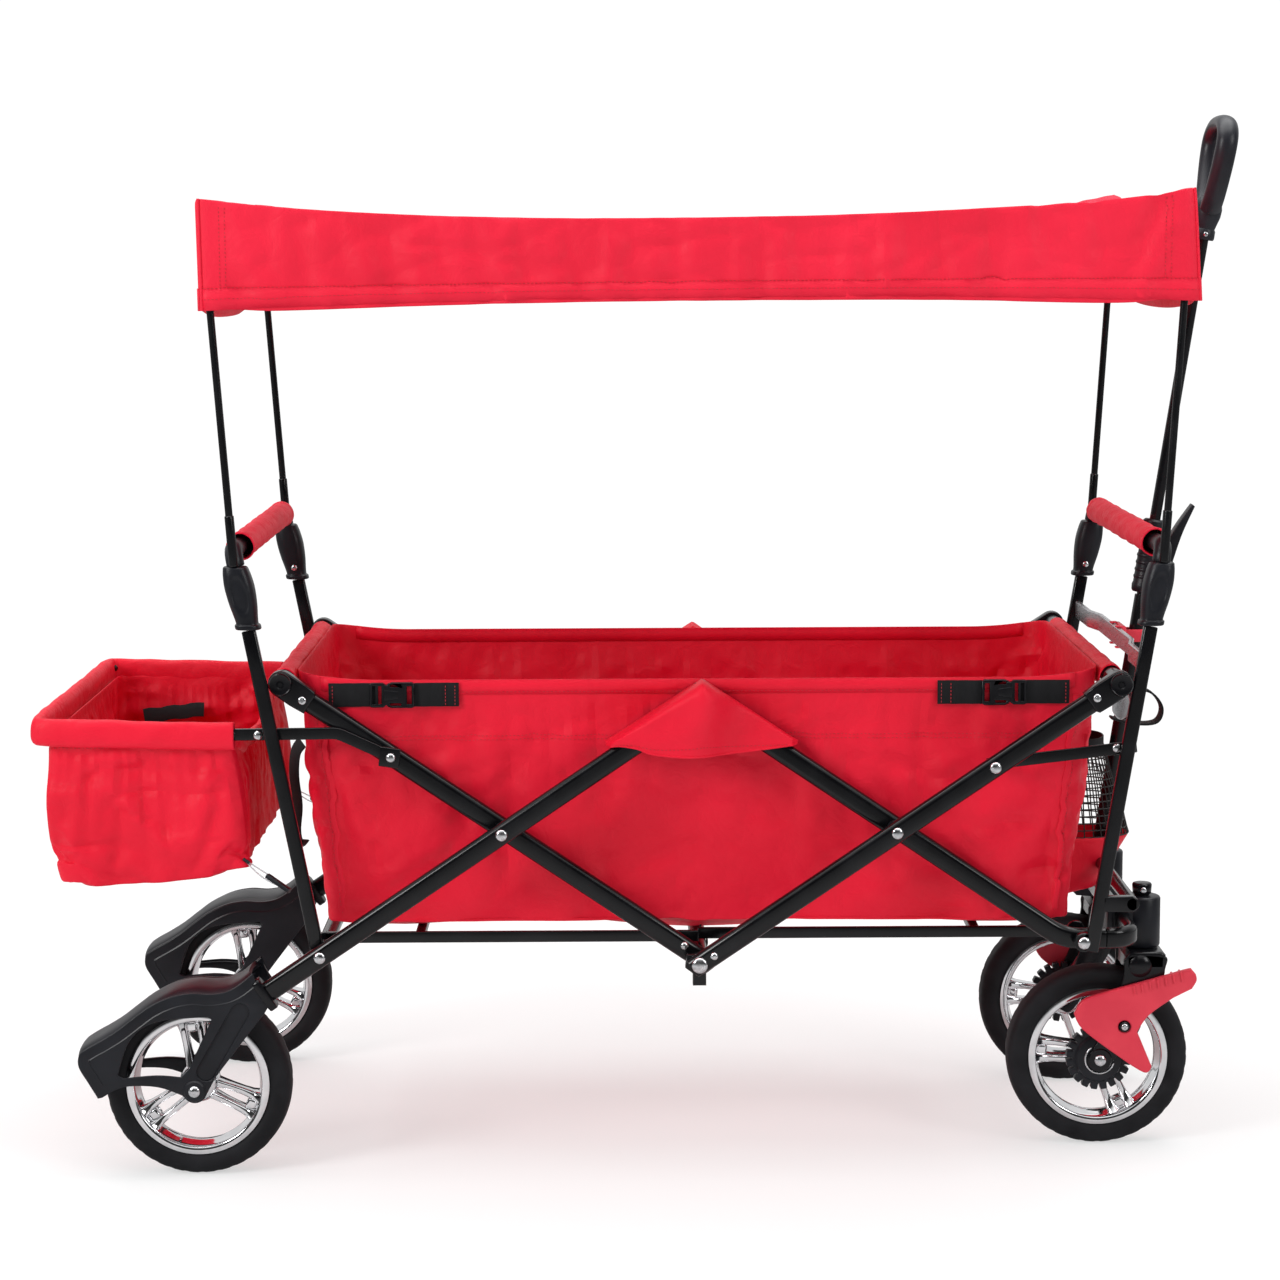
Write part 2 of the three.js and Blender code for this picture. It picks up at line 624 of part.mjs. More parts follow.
function gripCover(post) {
  const cover = turned([
    [PUSH_BAR_RADIUS + GAP, -GRIP_COVER_HALF], [GRIP_COVER_RADIUS, -GRIP_COVER_HALF],
    [GRIP_COVER_RADIUS, GRIP_COVER_HALF], [PUSH_BAR_RADIUS + GAP, GRIP_COVER_HALF],
  ], 20);
  return cover.translate([postX(post, PUSH_BAR_Z), 0, PUSH_BAR_Z]);
}

function canopyRod(side, post, places) {
  const low = SLEEVE_HIGH_Z + LEAN_GAP;
  const route = [[postX(post, low), low], ...places].map(([x, z]) => at(x, side * ROD_Y, z));
  return tube(roundSection(ROD_RADIUS, 8), route);
}

const ENDS = [
  ["rear", REAR_POST, { x: -REAR_POST_PIVOT_X, z: REAR_POST_PIVOT_Z }, [[-496.5, 907], [-503, 1013]]],
  ["front", FRONT_POST, FRONT_POST_PIVOT, [[495, 913], [499, 1020]]],
];
for (const [end, post, pivot, rodPlaces] of ENDS) {
  for (const [name, side] of SIDES) {
    add(`${end}_post_${name}`, cornerPost(side, post, pivot, 5), BLACK_PAINT);
    add(`${end}_post_sleeve_${name}`, postSleeve(side, post), BLACK_PLASTIC);
    add(`${end}_canopy_rod_${name}`, canopyRod(side, post, rodPlaces), BLACK_PAINT);
  }
  add(`${end}_push_bar`, pushBar(post), BLACK_PLASTIC);
  add(`${end}_grip_cover`, gripCover(post), RED_FABRIC);
}

// ---- pull handle and the bars that carry it ----
const BRACE_BAR_Z = 540;
const BRACE_JOGGLE = 8; // how far the bar's middle stands in front of its ends

function braceBar() {
  const x = postX(FRONT_POST, BRACE_BAR_Z);
  const reach = POST_Y - 5 - GAP;
  const places = [[x, -reach], [x + BRACE_JOGGLE, -120], [x + BRACE_JOGGLE, 120], [x, reach]];
  return tube(boxSection(20, 5, 1), places.map(([px, y]) => at(px, y, BRACE_BAR_Z)));
}

function handlePivotBar() {
  const { x, z } = HANDLE_PIVOT;
  let bar = pinAcross(7, -(POST_Y + 5), POST_Y + 5, x, z, 18);
  for (const [, side] of SIDES) {
    const ear = block(postX(FRONT_POST, z) + 9, x, side * (POST_Y - 5), side * (POST_Y + 5), z - 6, z + 6);
    bar = bar.add(ear);
  }
  return bar;
}

/** Snap-in clip that holds the handle tube against the brace bar. */
function handleClip() {
  const x = postX(FRONT_POST, BRACE_BAR_Z) + BRACE_JOGGLE;
  const back = block(x + 2.8, x + 8, -24, 24, BRACE_BAR_Z - 9, BRACE_BAR_Z + 12);
  const jaws = block(x + 6, x + 32, -13, 13, BRACE_BAR_Z - 7, BRACE_BAR_Z + 7);
  const room = block(x + 8.2, x + 60, -9, 9, BRACE_BAR_Z - 20, BRACE_BAR_Z + 20);
  return back.add(jaws).subtract(room);
}

/** A solid drawn with the handle standing straight up from its pivot, leaned to its rest angle. */
function alongHandle(shape) {
  const lean = THREE.MathUtils.radToDeg(HANDLE_LEAN);
  return shape.rotate([0, lean, 0]).translate([HANDLE_PIVOT.x, 0, HANDLE_PIVOT.z]);
}

function pullTubeOuter() {
  const clampTop = HANDLE_OUTER_LENGTH;
  const body = union(
    pinAcross(12, -10, 10, 0, 0, 20),
    cylinderUp(HANDLE_OUTER_RADIUS, 8, clampTop, 0, 0, 16),
    cylinderUp(13, HANDLE_CLAMP_LOW, clampTop, 0, 0, 18),
    block(8, 23, -5, 5, clampTop - 62, clampTop - 46),
  );
  return alongHandle(body
    .subtract(pinAcross(7 + BORE_PLAY, -20, 20, 0, 0, 18))
    .subtract(cylinderUp(HANDLE_BORE_RADIUS, 25, clampTop + 1, 0, 0, 16))
    .subtract(pinAcross(3 + BORE_PLAY, -20, 20, LEVER_PIVOT.u, LEVER_PIVOT.s)));
}

// place of the lock lever's pin, across and along the standing handle
const LEVER_PIVOT = { u: 18.5, s: HANDLE_OUTER_LENGTH - 54 };

function lockLever() {
  const { u, s } = LEVER_PIVOT;
  const cheek = outline([
    [u - 4, s - 4], [u - 1, s - 6], [u + 6, s - 7], [u + 8, s + 14], [u + 22, s + 76], [u + 19, s + 78],
    [u - 2, s + 30],
  ]);
  const cheeks = plate(cheek, -9, 9).subtract(block(u - 20, u + 7, -5.4, 5.4, s - 20, s + 12));
  return alongHandle(cheeks.add(pinAcross(3, -8, 8, u, s)));
}

function pullTubeInner() {
  return alongHandle(cylinderUp(HANDLE_INNER_RADIUS, 60, HANDLE_COLLAR_START - GAP, 0, 0, 16));
}

/** D-shaped hand loop on its collar. */
function pullGrip() {
  const start = HANDLE_COLLAR_START;
  const top = start + HANDLE_GRIP_LENGTH;
  const loop = moulded([
    [-14, start], [14, start], [34, start + 32], [54, start + 84], [48, top - 4], [0, top], [-48, top - 4],
    [-54, start + 84], [-34, start + 32],
  ]);
  const opening = moulded([
    [0, start + 32], [20, start + 50], [34, start + 84], [28, top - 24], [0, top - 22], [-28, top - 24],
    [-34, start + 84], [-20, start + 50],
  ]);
  const ring = plate(loop, -11, 11).subtract(plate(opening, -15, 15));
  const turnedRing = ring.rotate([0, 0, 90]);
  const collar = cylinderUp(12, start - 12, start + 14, 0, 0, 18);
  const tubeRoom = cylinderUp(HANDLE_INNER_RADIUS + GAP, start - 20, start + GAP, 0, 0, 16);
  return alongHandle(turnedRing.add(collar).subtract(tubeRoom));
}

add("front_cross_brace", braceBar(), SILVER);
add("handle_pivot_bar", handlePivotBar(), BLACK_PAINT);
add("handle_clip", handleClip(), RED_PLASTIC);
add("pull_tube_outer", pullTubeOuter(), BLACK_PAINT);
add("handle_lock_lever", lockLever(), BLACK_PLASTIC);
add("pull_tube_inner", pullTubeInner(), BLACK_PAINT);
add("pull_grip", pullGrip(), BLACK_PLASTIC);

// ---- links, basket and floor bars ----
const FRONT_LINK_END = { x: 449, z: 457 };
const BASKET_ARM_X = -484;
const BASKET_REAR_X = -688;

function frontLink(side) {
  const z = braceZ(FRONT_LINK_X);
  const bar = tube(boxSection(LINK_THICKNESS, 12, 1.5), [
    at(FRONT_LINK_X - 7, side * LINK_Y, z - 1),
    at(FRONT_LINK_END.x + 6, side * LINK_Y, FRONT_LINK_END.z + 1),
  ]);
  return bar.subtract(pinAcross(3 + BORE_PLAY, side * 230, side * 252, FRONT_LINK_X, z));
}

/** Bent link arms that carry on behind the posts as the basket's hoop, in one frame. */
function basketHoop() {
  const z = braceZ(REAR_LINK_X);
  const hoopY = 240;
  const hoop = tube(roundSection(5, 10), rounded([
    at(BASKET_ARM_X + 2, -hoopY, 470), at(BASKET_REAR_X, -hoopY, 477),
    at(BASKET_REAR_X, hoopY, 477), at(BASKET_ARM_X + 2, hoopY, 470),
  ], 18, 3));
  let frame = hoop;
  for (const [, side] of SIDES) {
    const arm = tube(boxSection(LINK_THICKNESS, 12, 1.5), rounded([
      at(-REAR_LINK_X + 7, side * LINK_Y, z - 3),
      at(-375, side * LINK_Y, 471),
      at(BASKET_ARM_X, side * LINK_Y, 470),
    ], 30, 1));
    const pinHole = pinAcross(3 + BORE_PLAY, side * 230, side * 252, -REAR_LINK_X, z);
    frame = frame.add(arm.subtract(pinHole));
  }
  return frame;
}

function floorBrace(direction, pivot, barY, boreRadius) {
  const { low, high } = FLOOR_BAR_Z;
  const spine = block(
    Math.min(direction * 290, direction * 300), Math.max(direction * 290, direction * 300),
    -barY, barY, low + 1, high - 1);
  let brace = spine;
  for (const [, side] of SIDES) {
    const [y0, y1] = [side * (barY - FLOOR_BAR_WIDTH / 2), side * (barY + FLOOR_BAR_WIDTH / 2)];
    const bar = block(Math.min(0, pivot.x), Math.max(0, pivot.x), y0, y1, low, high);
    const eye = pinAcross(boreRadius + 5, y0, y1, pivot.x, pivot.z, 18);
    brace = union(brace, bar, eye);
  }
  for (const [, side] of SIDES) {
    brace = brace.subtract(
      pinAcross(boreRadius + BORE_PLAY, side * (barY - 9), side * (barY + 9), pivot.x, pivot.z, 18));
  }
  return brace;
}

add("basket_hoop", basketHoop(), BLACK_PAINT);
for (const [name, side] of SIDES) add(`front_link_${name}`, frontLink(side), BLACK_PAINT);
const REAR_FLOOR_PIVOT = { x: -REAR_POST_PIVOT_X, z: REAR_POST_PIVOT_Z };
add("floor_brace_rear", floorBrace(-1, REAR_FLOOR_PIVOT, REAR_BAR_Y, 8.5), BLACK_PAINT);
add("floor_brace_front", floorBrace(1, FRONT_POST_PIVOT, FRONT_BAR_Y, 5), BLACK_PAINT);

// ---- soft parts, as plain shells ----

function tub() {
  const shell = (inset, drop) => plate(outline([
    [-TUB.low_x + inset, TUB.low_z + inset], [TUB.low_x - inset, TUB.low_z + inset],
    [TUB.high_x - inset, TUB.high_z + drop], [-TUB.high_x + inset, TUB.high_z + drop],
  ]), -TUB.half_y + inset, TUB.half_y - inset);
  return shell(0, 0).subtract(shell(TUB.wall, 10));
}

function basketBag() {
  const { half_y, wall, top_z } = BASKET;
  const shell = (inset, rise) => plate(outline([
    [-668 + inset, 308 + inset], [-480 - inset, 328 + inset],
    [-490 - inset, top_z + rise], [-680 + inset, top_z + rise],
  ]), -half_y + inset, half_y - inset);
  return shell(0, 0).subtract(shell(wall, 10));
}

/** Roof sheet that sags between its ends, with a hanging border all round. */
function canopyShell(inset, drop) {
  const shape = new THREE.Shape();
  shape.moveTo(-506 + inset, 908 - drop);
  shape.lineTo(-511 + inset, 1022 - inset);
  shape.quadraticCurveTo(0, 985 - inset, 506 - inset, 1030 - inset);
  shape.lineTo(514 - inset, 914 - drop);
  shape.quadraticCurveTo(0, 930 - drop, -506 + inset, 908 - drop);
  return plate(shape, -CANOPY.half_y + inset, CANOPY.half_y - inset, 10);
}

add("tub", tub(), RED_FABRIC);
add("basket_bag", basketBag(), RED_FABRIC);
add("canopy", canopyShell(0, 0).subtract(canopyShell(CANOPY.wall, 30)), RED_FABRIC);

// the part's origin is the middle of its footprint, on the ground
const footprint = new THREE.Box3().setFromObject(wagon);
wagon.position.x = -(footprint.min.x + footprint.max.x) / 2;

export default wagon;
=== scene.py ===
"""Looks of the folding pull wagon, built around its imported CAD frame.

Sizes are in millimetres, with x measured from the lower centre tube, y from the centre plane and z from the
ground; build() turns them into metres in the row frame. Sides are -1 for the wagon's right and 1 for its left.
"""

import json
import math

import bmesh
import bpy
import numpy as np
from mathutils import Matrix, Vector, noise
from mathutils.bvhtree import BVHTree


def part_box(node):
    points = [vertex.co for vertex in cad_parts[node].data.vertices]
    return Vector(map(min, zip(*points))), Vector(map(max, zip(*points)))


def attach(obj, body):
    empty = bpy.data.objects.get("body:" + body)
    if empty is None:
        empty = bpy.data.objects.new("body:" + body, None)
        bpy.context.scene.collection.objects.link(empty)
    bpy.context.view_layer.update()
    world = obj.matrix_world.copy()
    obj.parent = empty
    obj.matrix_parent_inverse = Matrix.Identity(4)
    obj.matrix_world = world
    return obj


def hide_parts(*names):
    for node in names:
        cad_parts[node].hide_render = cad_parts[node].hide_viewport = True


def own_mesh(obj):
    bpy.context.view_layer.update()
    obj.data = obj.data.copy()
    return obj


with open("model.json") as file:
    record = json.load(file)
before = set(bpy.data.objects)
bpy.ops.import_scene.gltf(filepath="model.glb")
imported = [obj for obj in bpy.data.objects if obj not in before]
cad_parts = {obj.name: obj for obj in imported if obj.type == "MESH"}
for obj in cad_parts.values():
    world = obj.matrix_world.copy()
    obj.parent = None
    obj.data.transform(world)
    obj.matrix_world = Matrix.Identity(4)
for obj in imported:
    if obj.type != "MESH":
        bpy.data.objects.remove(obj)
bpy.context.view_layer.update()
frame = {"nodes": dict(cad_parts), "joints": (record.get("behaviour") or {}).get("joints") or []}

MM = 0.001
SIDES = (("right", -1), ("left", 1))
PIVOT = {j["name"]: Vector(j["pos_m"]) for j in frame["joints"] if "pos_m" in j}
HUB_X = PIVOT["fold"].x


def from_frame(point):
    """A point of the row frame in this script's millimetres."""
    return np.array([(point[0] - HUB_X) / MM, point[1] / MM, point[2] / MM])


def box_mm(node):
    low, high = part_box(node)
    return from_frame(low), from_frame(high)


def pivot_mm(joint):
    return from_frame(PIVOT[joint])


# ---------------------------------------------------------------- geometry helpers


class Geo:
    """Vertices and faces that can be moved and added together before they become an object."""

    def __init__(self, verts, faces):
        self.v = np.array(verts, float).reshape(-1, 3)
        self.f = [tuple(int(i) for i in face) for face in faces]

    def __add__(self, other):
        shift = len(self.v)
        faces = self.f + [tuple(i + shift for i in face) for face in other.f]
        return Geo(np.vstack([self.v, other.v]), faces)

    def moved(self, x=0.0, y=0.0, z=0.0):
        return Geo(self.v + np.array([x, y, z]), self.f)

    def turned(self, axis, degrees, about=(0, 0, 0)):
        matrix = np.array(Matrix.Rotation(math.radians(degrees), 3, axis))
        centre = np.array(about, float)
        return Geo((self.v - centre) @ matrix.T + centre, self.f)

    def mirrored(self, side):
        """The same shape for the other side of the wagon when side is 1; shapes are drawn for side -1."""
        return self if side < 0 else Geo(self.v * np.array([1, -1, 1]), self.f)

    def warped(self, move):
        """Each vertex moved to move(vertex)."""
        return Geo(np.array([move(p) for p in self.v]), self.f)


def grid(fn, nu, nv, wrap_u=False):
    """Sheet of quads through fn(u, v) for u and v from 0 to 1."""
    columns = nu if wrap_u else nu + 1
    verts = [fn(i / nu, j / nv) for j in range(nv + 1) for i in range(columns)]
    faces = []
    for j in range(nv):
        for i in range(nu):
            a, b = j * columns + i, j * columns + (i + 1) % columns
            faces.append((a, b, b + columns, a + columns))
    return Geo(verts, faces)


def loft(rings, closed=False, caps=True):
    """Skin over equal rings of points; closed joins the last ring to the first."""
    n = len(rings[0])
    verts = np.vstack(rings)
    count = len(rings)
    faces = []
    for j in range(count if closed else count - 1):
        k = (j + 1) % count
        for i in range(n):
            m = (i + 1) % n
            faces.append((j * n + i, j * n + m, k * n + m, k * n + i))
    if caps and not closed:
        faces.append(tuple(range(n)))
        faces.append(tuple((count - 1) * n + i for i in range(n)))
    return Geo(verts, faces)


def lathe(profile, segments=64, closed=True):
    """Profile of (radius, y) pairs turned about the y axis. An open profile starts and ends on the axis."""
    rings = []
    for r, y in profile:
        angles = np.linspace(0, 2 * math.pi, segments, endpoint=False)
        rings.append(np.stack([r * np.cos(angles), np.full(segments, y), r * np.sin(angles)], 1))
    return loft(rings, closed=closed)


def round_section(radius, n=20):
    angles = np.linspace(0, 2 * math.pi, n, endpoint=False)
    return [(radius * math.cos(a), radius * math.sin(a)) for a in angles]


def box_section(width, height, corner, n=5):
    """Rectangle with round corners; width lies along the sweep's side direction."""
    points = []
    for k, (sx, sy) in enumerate(((1, 1), (-1, 1), (-1, -1), (1, -1))):
        for i in range(n + 1):
            a = math.pi / 2 * (k + i / n)
            x = sx * (width / 2 - corner) + corner * math.cos(a)
            y = sy * (height / 2 - corner) + corner * math.sin(a)
            points.append((x, y))
    return points


def sweep(points, section, side=None, closed=False, caps=True, scales=None):
    """Section carried along points. side is the direction its first coordinate starts along."""
    pts = [Vector(p) for p in points]
    count = len(pts)
    rings = []
    right = Vector(side) if side is not None else None
    for i, here in enumerate(pts):
        before = pts[i - 1] if (i or closed) else here
        after = pts[(i + 1) % count] if (i < count - 1 or closed) else here
        tangent = ((here - before).normalized() + (after - here).normalized()).normalized()
        if right is None:
            right = tangent.orthogonal()
        right = (right - tangent * right.dot(tangent)).normalized()
        up = tangent.cross(right)
        scale = scales[i] if scales is not None else 1.0
        rings.append(np.array([here + (right * a + up * b) * scale for a, b in section]))
    return loft(rings, closed=closed, caps=caps)


def fillet(points, radius, steps=8):
    """Corner points with the inner corners rounded."""
    pts = [Vector(p) for p in points]
    out = [pts[0]]
    for i in range(1, len(pts) - 1):
        into = (pts[i - 1] - pts[i]).normalized()
        away = (pts[i + 1] - pts[i]).normalized()
        half = into.angle(away) / 2
        reach = radius / math.tan(half)
        start, end = pts[i] + into * reach, pts[i] + away * reach
        middle = pts[i] + (into + away).normalized() * (radius / math.sin(half))
        a, b = start - middle, end - middle
        turn = a.angle(b)
        for k in range(steps + 1):
            share = turn * k / steps
            out.append(middle + (a * math.sin(turn - share) + b * math.sin(share)) / math.sin(turn))
    out.append(pts[-1])
    return [tuple(p) for p in out]


def smooth_path(points, per_span=8, closed=False):
    """Catmull-Rom curve through points of any dimension."""
    pts = [np.array(p, float) for p in points]
    n = len(pts)
    out = []
    for i in range(n if closed else n - 1):
        p0 = pts[(i - 1) % n] if (closed or i) else pts[0]
        p1, p2 = pts[i], pts[(i + 1) % n]
        p3 = pts[(i + 2) % n] if (closed or i + 2 < n) else pts[-1]
        for k in range(per_span):
            t = k / per_span
            out.append(0.5 * ((2 * p1) + (p2 - p0) * t + (2 * p0 - 5 * p1 + 4 * p2 - p3) * t * t
                              + (3 * p1 - p0 - 3 * p2 + p3) * t ** 3))
    if not closed:
        out.append(pts[-1])
    return [tuple(p) for p in out]


def plate(loops, y0, y1, bevel=1.0, resolution=3):
    """Flat piece between two y values from closed outlines in x and z; later loops cut windows in the first."""
    curve = bpy.data.curves.new("outline", "CURVE")
    curve.dimensions = "2D"
    curve.fill_mode = "BOTH"
    curve.extrude = abs(y1 - y0) / 2 - bevel
    curve.bevel_depth = bevel
    curve.bevel_resolution = resolution
    curve.offset = -bevel
    for loop in loops:
        spline = curve.splines.new("POLY")
        spline.points.add(len(loop) - 1)
        for point, (x, z) in zip(spline.points, loop):
            point.co = (x, z, 0, 1)
        spline.use_cyclic_u = True
    holder = bpy.data.objects.new("outline", curve)
    bpy.context.scene.collection.objects.link(holder)
    mesh = bpy.data.meshes.new_from_object(holder.evaluated_get(bpy.context.evaluated_depsgraph_get()))
    shape = bmesh.new()
    shape.from_mesh(mesh)
    bmesh.ops.remove_doubles(shape, verts=shape.verts, dist=1e-3)
    verts = [(v.co.x, (y0 + y1) / 2 - v.co.z, v.co.y) for v in shape.verts]
    faces = [tuple(v.index for v in f.verts) for f in shape.faces]
    shape.free()
    bpy.data.objects.remove(holder)
    bpy.data.curves.remove(curve)
    bpy.data.meshes.remove(mesh)
    return Geo(verts, faces)


def block(x0, x1, y0, y1, z0, z1, corner=1.0):
    """Box with rounded edges."""
    low_y, high_y = min(y0, y1), max(y0, y1)
    corner = min(corner, (x1 - x0) / 2.01, (high_y - low_y) / 2.01, (z1 - z0) / 2.01)
    rings = []
    for k in range(5):
        a = math.pi / 2 * k / 4
        rings.append((corner * (1 - math.sin(a)), low_y + corner * (1 - math.cos(a))))
    levels = rings + [(inset, high_y - (y - low_y)) for inset, y in reversed(rings)]
    out = []
    cx, cz = (x0 + x1) / 2, (z0 + z1) / 2
    for inset, y in levels:
        section = box_section(x1 - x0 - 2 * inset, z1 - z0 - 2 * inset, max(corner - inset, 0.01), 3)
        out.append(np.array([(cx + a, y, cz + b) for a, b in section]))
    return loft(out)


def rivet(side, y, x, z, radius=6.0, height=2.8):
    """Domed rivet head standing out from the plane y."""
    steps = 6
    profile = [(0.01, -1.0), (radius, -1.0), (radius, 0.4)]
    for k in range(1, steps + 1):
        a = math.pi / 2 * k / steps
        profile.append((max(radius * math.cos(a), 0.01), 0.4 + height * math.sin(a)))
    head = lathe(profile, 28, closed=False)
    if side < 0:
        head = Geo(head.v * np.array([1, -1, 1]), head.f)
    return head.moved(x, y, z)


def pin(radius, y0, y1, x, z, chamfer=0.6, segments=32):
    low, high = min(y0, y1), max(y0, y1)
    profile = [(0.01, low), (radius - chamfer, low), (radius, low + chamfer),
               (radius, high - chamfer), (radius - chamfer, high), (0.01, high)]
    return lathe(profile, segments, closed=False).moved(x, 0, z)


def upright(profile, x, y, segments=48):
    """Profile of (radius, z) pairs turned about a vertical line."""
    shape = lathe([(r, z) for r, z in profile], segments, closed=False)
    return Geo(np.stack([shape.v[:, 0] + x, shape.v[:, 2] + y, shape.v[:, 1]], 1), shape.f)


def rough(point, scale, seed=0.0):
    """Soft noise between about -1 and 1 at a point given in millimetres."""
    return noise.noise(Vector(point) / scale + Vector((seed, 2 * seed, 3 * seed)))


# ---------------------------------------------------------------- objects


def build(name, geo, material, body, replaces=(), thickness=0.0, subdivide=0, sharp=38, squash=None):
    """Makes geo an object on a CAD body. thickness turns an open sheet into a closed one."""
    mesh = bpy.data.meshes.new(name)
    mesh.from_pydata([((x * MM) + HUB_X, y * MM, z * MM) for x, y, z in geo.v], [], geo.f)
    shape = bmesh.new()
    shape.from_mesh(mesh)
    bmesh.ops.remove_doubles(shape, verts=shape.verts, dist=0.02 * MM)
    bmesh.ops.recalc_face_normals(shape, faces=shape.faces)
    shape.to_mesh(mesh)
    shape.free()
    mesh.materials.append(material)
    mesh.shade_smooth()
    mesh.set_sharp_from_angle(angle=math.radians(sharp))
    piece = bpy.data.objects.new(name, mesh)
    bpy.context.scene.collection.objects.link(piece)
    if thickness:
        solidify = piece.modifiers.new("thickness", "SOLIDIFY")
        solidify.thickness = thickness * MM
        solidify.offset = 0
        apply_modifiers(piece)
    if subdivide:
        smoother = piece.modifiers.new("smooth", "SUBSURF")
        smoother.levels = smoother.render_levels = subdivide
        apply_modifiers(piece)
    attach(piece, body)
    if squash:
        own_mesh(piece)
    if replaces:
        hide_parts(*replaces)
    return piece


def apply_modifiers(piece):
    depsgraph = bpy.context.evaluated_depsgraph_get()
    mesh = bpy.data.meshes.new_from_object(piece.evaluated_get(depsgraph))
    old = piece.data
    piece.modifiers.clear()
    piece.data = mesh
    mesh.name = old.name
    bpy.data.meshes.remove(old)


# ---------------------------------------------------------------- materials


class Shader:
    """Short way to write a node material."""

    def __init__(self, name):
        self.material = bpy.data.materials.new(name)
        self.material.use_nodes = True
        self.tree = self.material.node_tree
        self.bsdf = self.tree.nodes["Principled BSDF"]
        self.place = self.node("ShaderNodeTexCoord").outputs["Object"]

    def node(self, kind, settings=None, **inputs):
        made = self.tree.nodes.new(kind)
        for key, value in (settings or {}).items():
            setattr(made, key, value)
        for key, value in inputs.items():
            self.feed(made.inputs[key.replace("_", " ")], value)
        return made

    def feed(self, socket, value):
        if isinstance(value, bpy.types.NodeSocket):
            self.tree.links.new(value, socket)
        else:
            socket.default_value = value

    def scaled(self, x, y, z):
        return self.node("ShaderNodeMapping", Vector=self.place, Scale=(x, y, z)).outputs["Vector"]

    def noise(self, scale, detail=3.0, place=None, distortion=0.0):
        made = self.node("ShaderNodeTexNoise", Vector=place or self.place, Scale=scale, Detail=detail,
                         Distortion=distortion)
        return made.outputs["Fac"]

    def math(self, operation, a, b=0.0):
        made = self.node("ShaderNodeMath", {"operation": operation})
        self.feed(made.inputs[0], a)
        self.feed(made.inputs[1], b)
        return made.outputs[0]

    def ramp(self, value, low, high, dark, light):
        made = self.node("ShaderNodeMapRange", Value=value, From_Min=low, From_Max=high, To_Min=dark, To_Max=light)
        return made.outputs["Result"]

    def mix(self, factor, a, b):
        made = self.node("ShaderNodeMix", {"data_type": "RGBA"})
        self.feed(made.inputs[0], factor)
        self.feed(made.inputs[6], a)
        self.feed(made.inputs[7], b)
        return made.outputs[2]

    def bump(self, height, strength, distance, after=None):
        made = self.node("ShaderNodeBump", Height=height, Strength=strength, Distance=distance * MM)
        if after is not None:
            self.feed(made.inputs["Normal"], after)
        return made.outputs["Normal"]

    def set(self, **inputs):
        for key, value in inputs.items():
            self.feed(self.bsdf.inputs[key.replace("_", " ")], value)
        return self.material


def rgb(r, g, b):
    return (r, g, b, 1.0)


def woven_fabric(name, color, shade, thread=0.9, gloss=0.52):
    """Coated woven polyester: fine crossed threads, soft creases and a light sheen."""
    s = Shader(name)
    turn = 2 * math.pi / (thread * MM)
    split = s.node("ShaderNodeSeparateXYZ", Vector=s.place)
    along = s.math("SINE", s.math("MULTIPLY", s.math("ADD", split.outputs[0], split.outputs[1]), turn))
    up = s.math("SINE", s.math("MULTIPLY", s.math("ADD", split.outputs[2], split.outputs[1]), turn))
    weave = s.math("MULTIPLY", along, up)
    creases = s.noise(34.0, 4.0, distortion=1.6)
    fine = s.noise(180.0, 2.0)
    cloudy = s.noise(6.0, 3.0)
    tint = s.mix(s.ramp(cloudy, 0.35, 0.65, 0.0, 1.0), color, shade)
    threads = s.mix(s.ramp(weave, -1.0, 1.0, 0.0, 0.16), tint, shade)
    normal = s.bump(weave, 0.35, 0.05)
    normal = s.bump(creases, 0.7, 1.8, normal)
    normal = s.bump(fine, 0.35, 0.25, normal)
    return s.set(Base_Color=threads, Roughness=s.ramp(fine, 0.3, 0.7, gloss - 0.06, gloss + 0.08), Normal=normal,
                 Sheen_Weight=0.05, Sheen_Roughness=0.4, Sheen_Tint=rgb(1.0, 0.2, 0.25),
                 Specular_IOR_Level=0.22)


def webbing_material():
    """Black strap with slanted ribs."""
    s = Shader("webbing")
    place = s.scaled(1, 1, 1)
    ribs = s.node("ShaderNodeTexWave", {"bands_direction": "X"}, Vector=place, Scale=260.0, Distortion=1.5,
                  Detail=1.0)
    rows = s.node("ShaderNodeTexWave", {"bands_direction": "Z"}, Vector=place, Scale=330.0)
    height = s.math("ADD", ribs.outputs["Fac"], rows.outputs["Fac"])
    tone = s.mix(s.ramp(height, 0.3, 1.7, 0.0, 1.0), rgb(0.002, 0.002, 0.0025), rgb(0.010, 0.010, 0.012))
    return s.set(Base_Color=tone, Roughness=0.7, Normal=s.bump(height, 0.6, 0.25), Sheen_Weight=0.05,
                 Specular_IOR_Level=0.2)


def painted_metal():
    """Glossy black powder coat with a faint orange peel and rubbed patches."""
    s = Shader("black_paint")
    peel = s.noise(420.0, 2.0)
    wear = s.noise(28.0, 5.0)
    tone = s.mix(s.ramp(wear, 0.45, 0.7, 0.0, 1.0), rgb(0.0022, 0.0023, 0.003), rgb(0.005, 0.0052, 0.0065))
    return s.set(Base_Color=tone, Roughness=s.ramp(wear, 0.3, 0.75, 0.16, 0.28), Normal=s.bump(peel, 0.2, 0.1),
                 Coat_Weight=0.25, Coat_Roughness=0.1, Specular_IOR_Level=0.26)


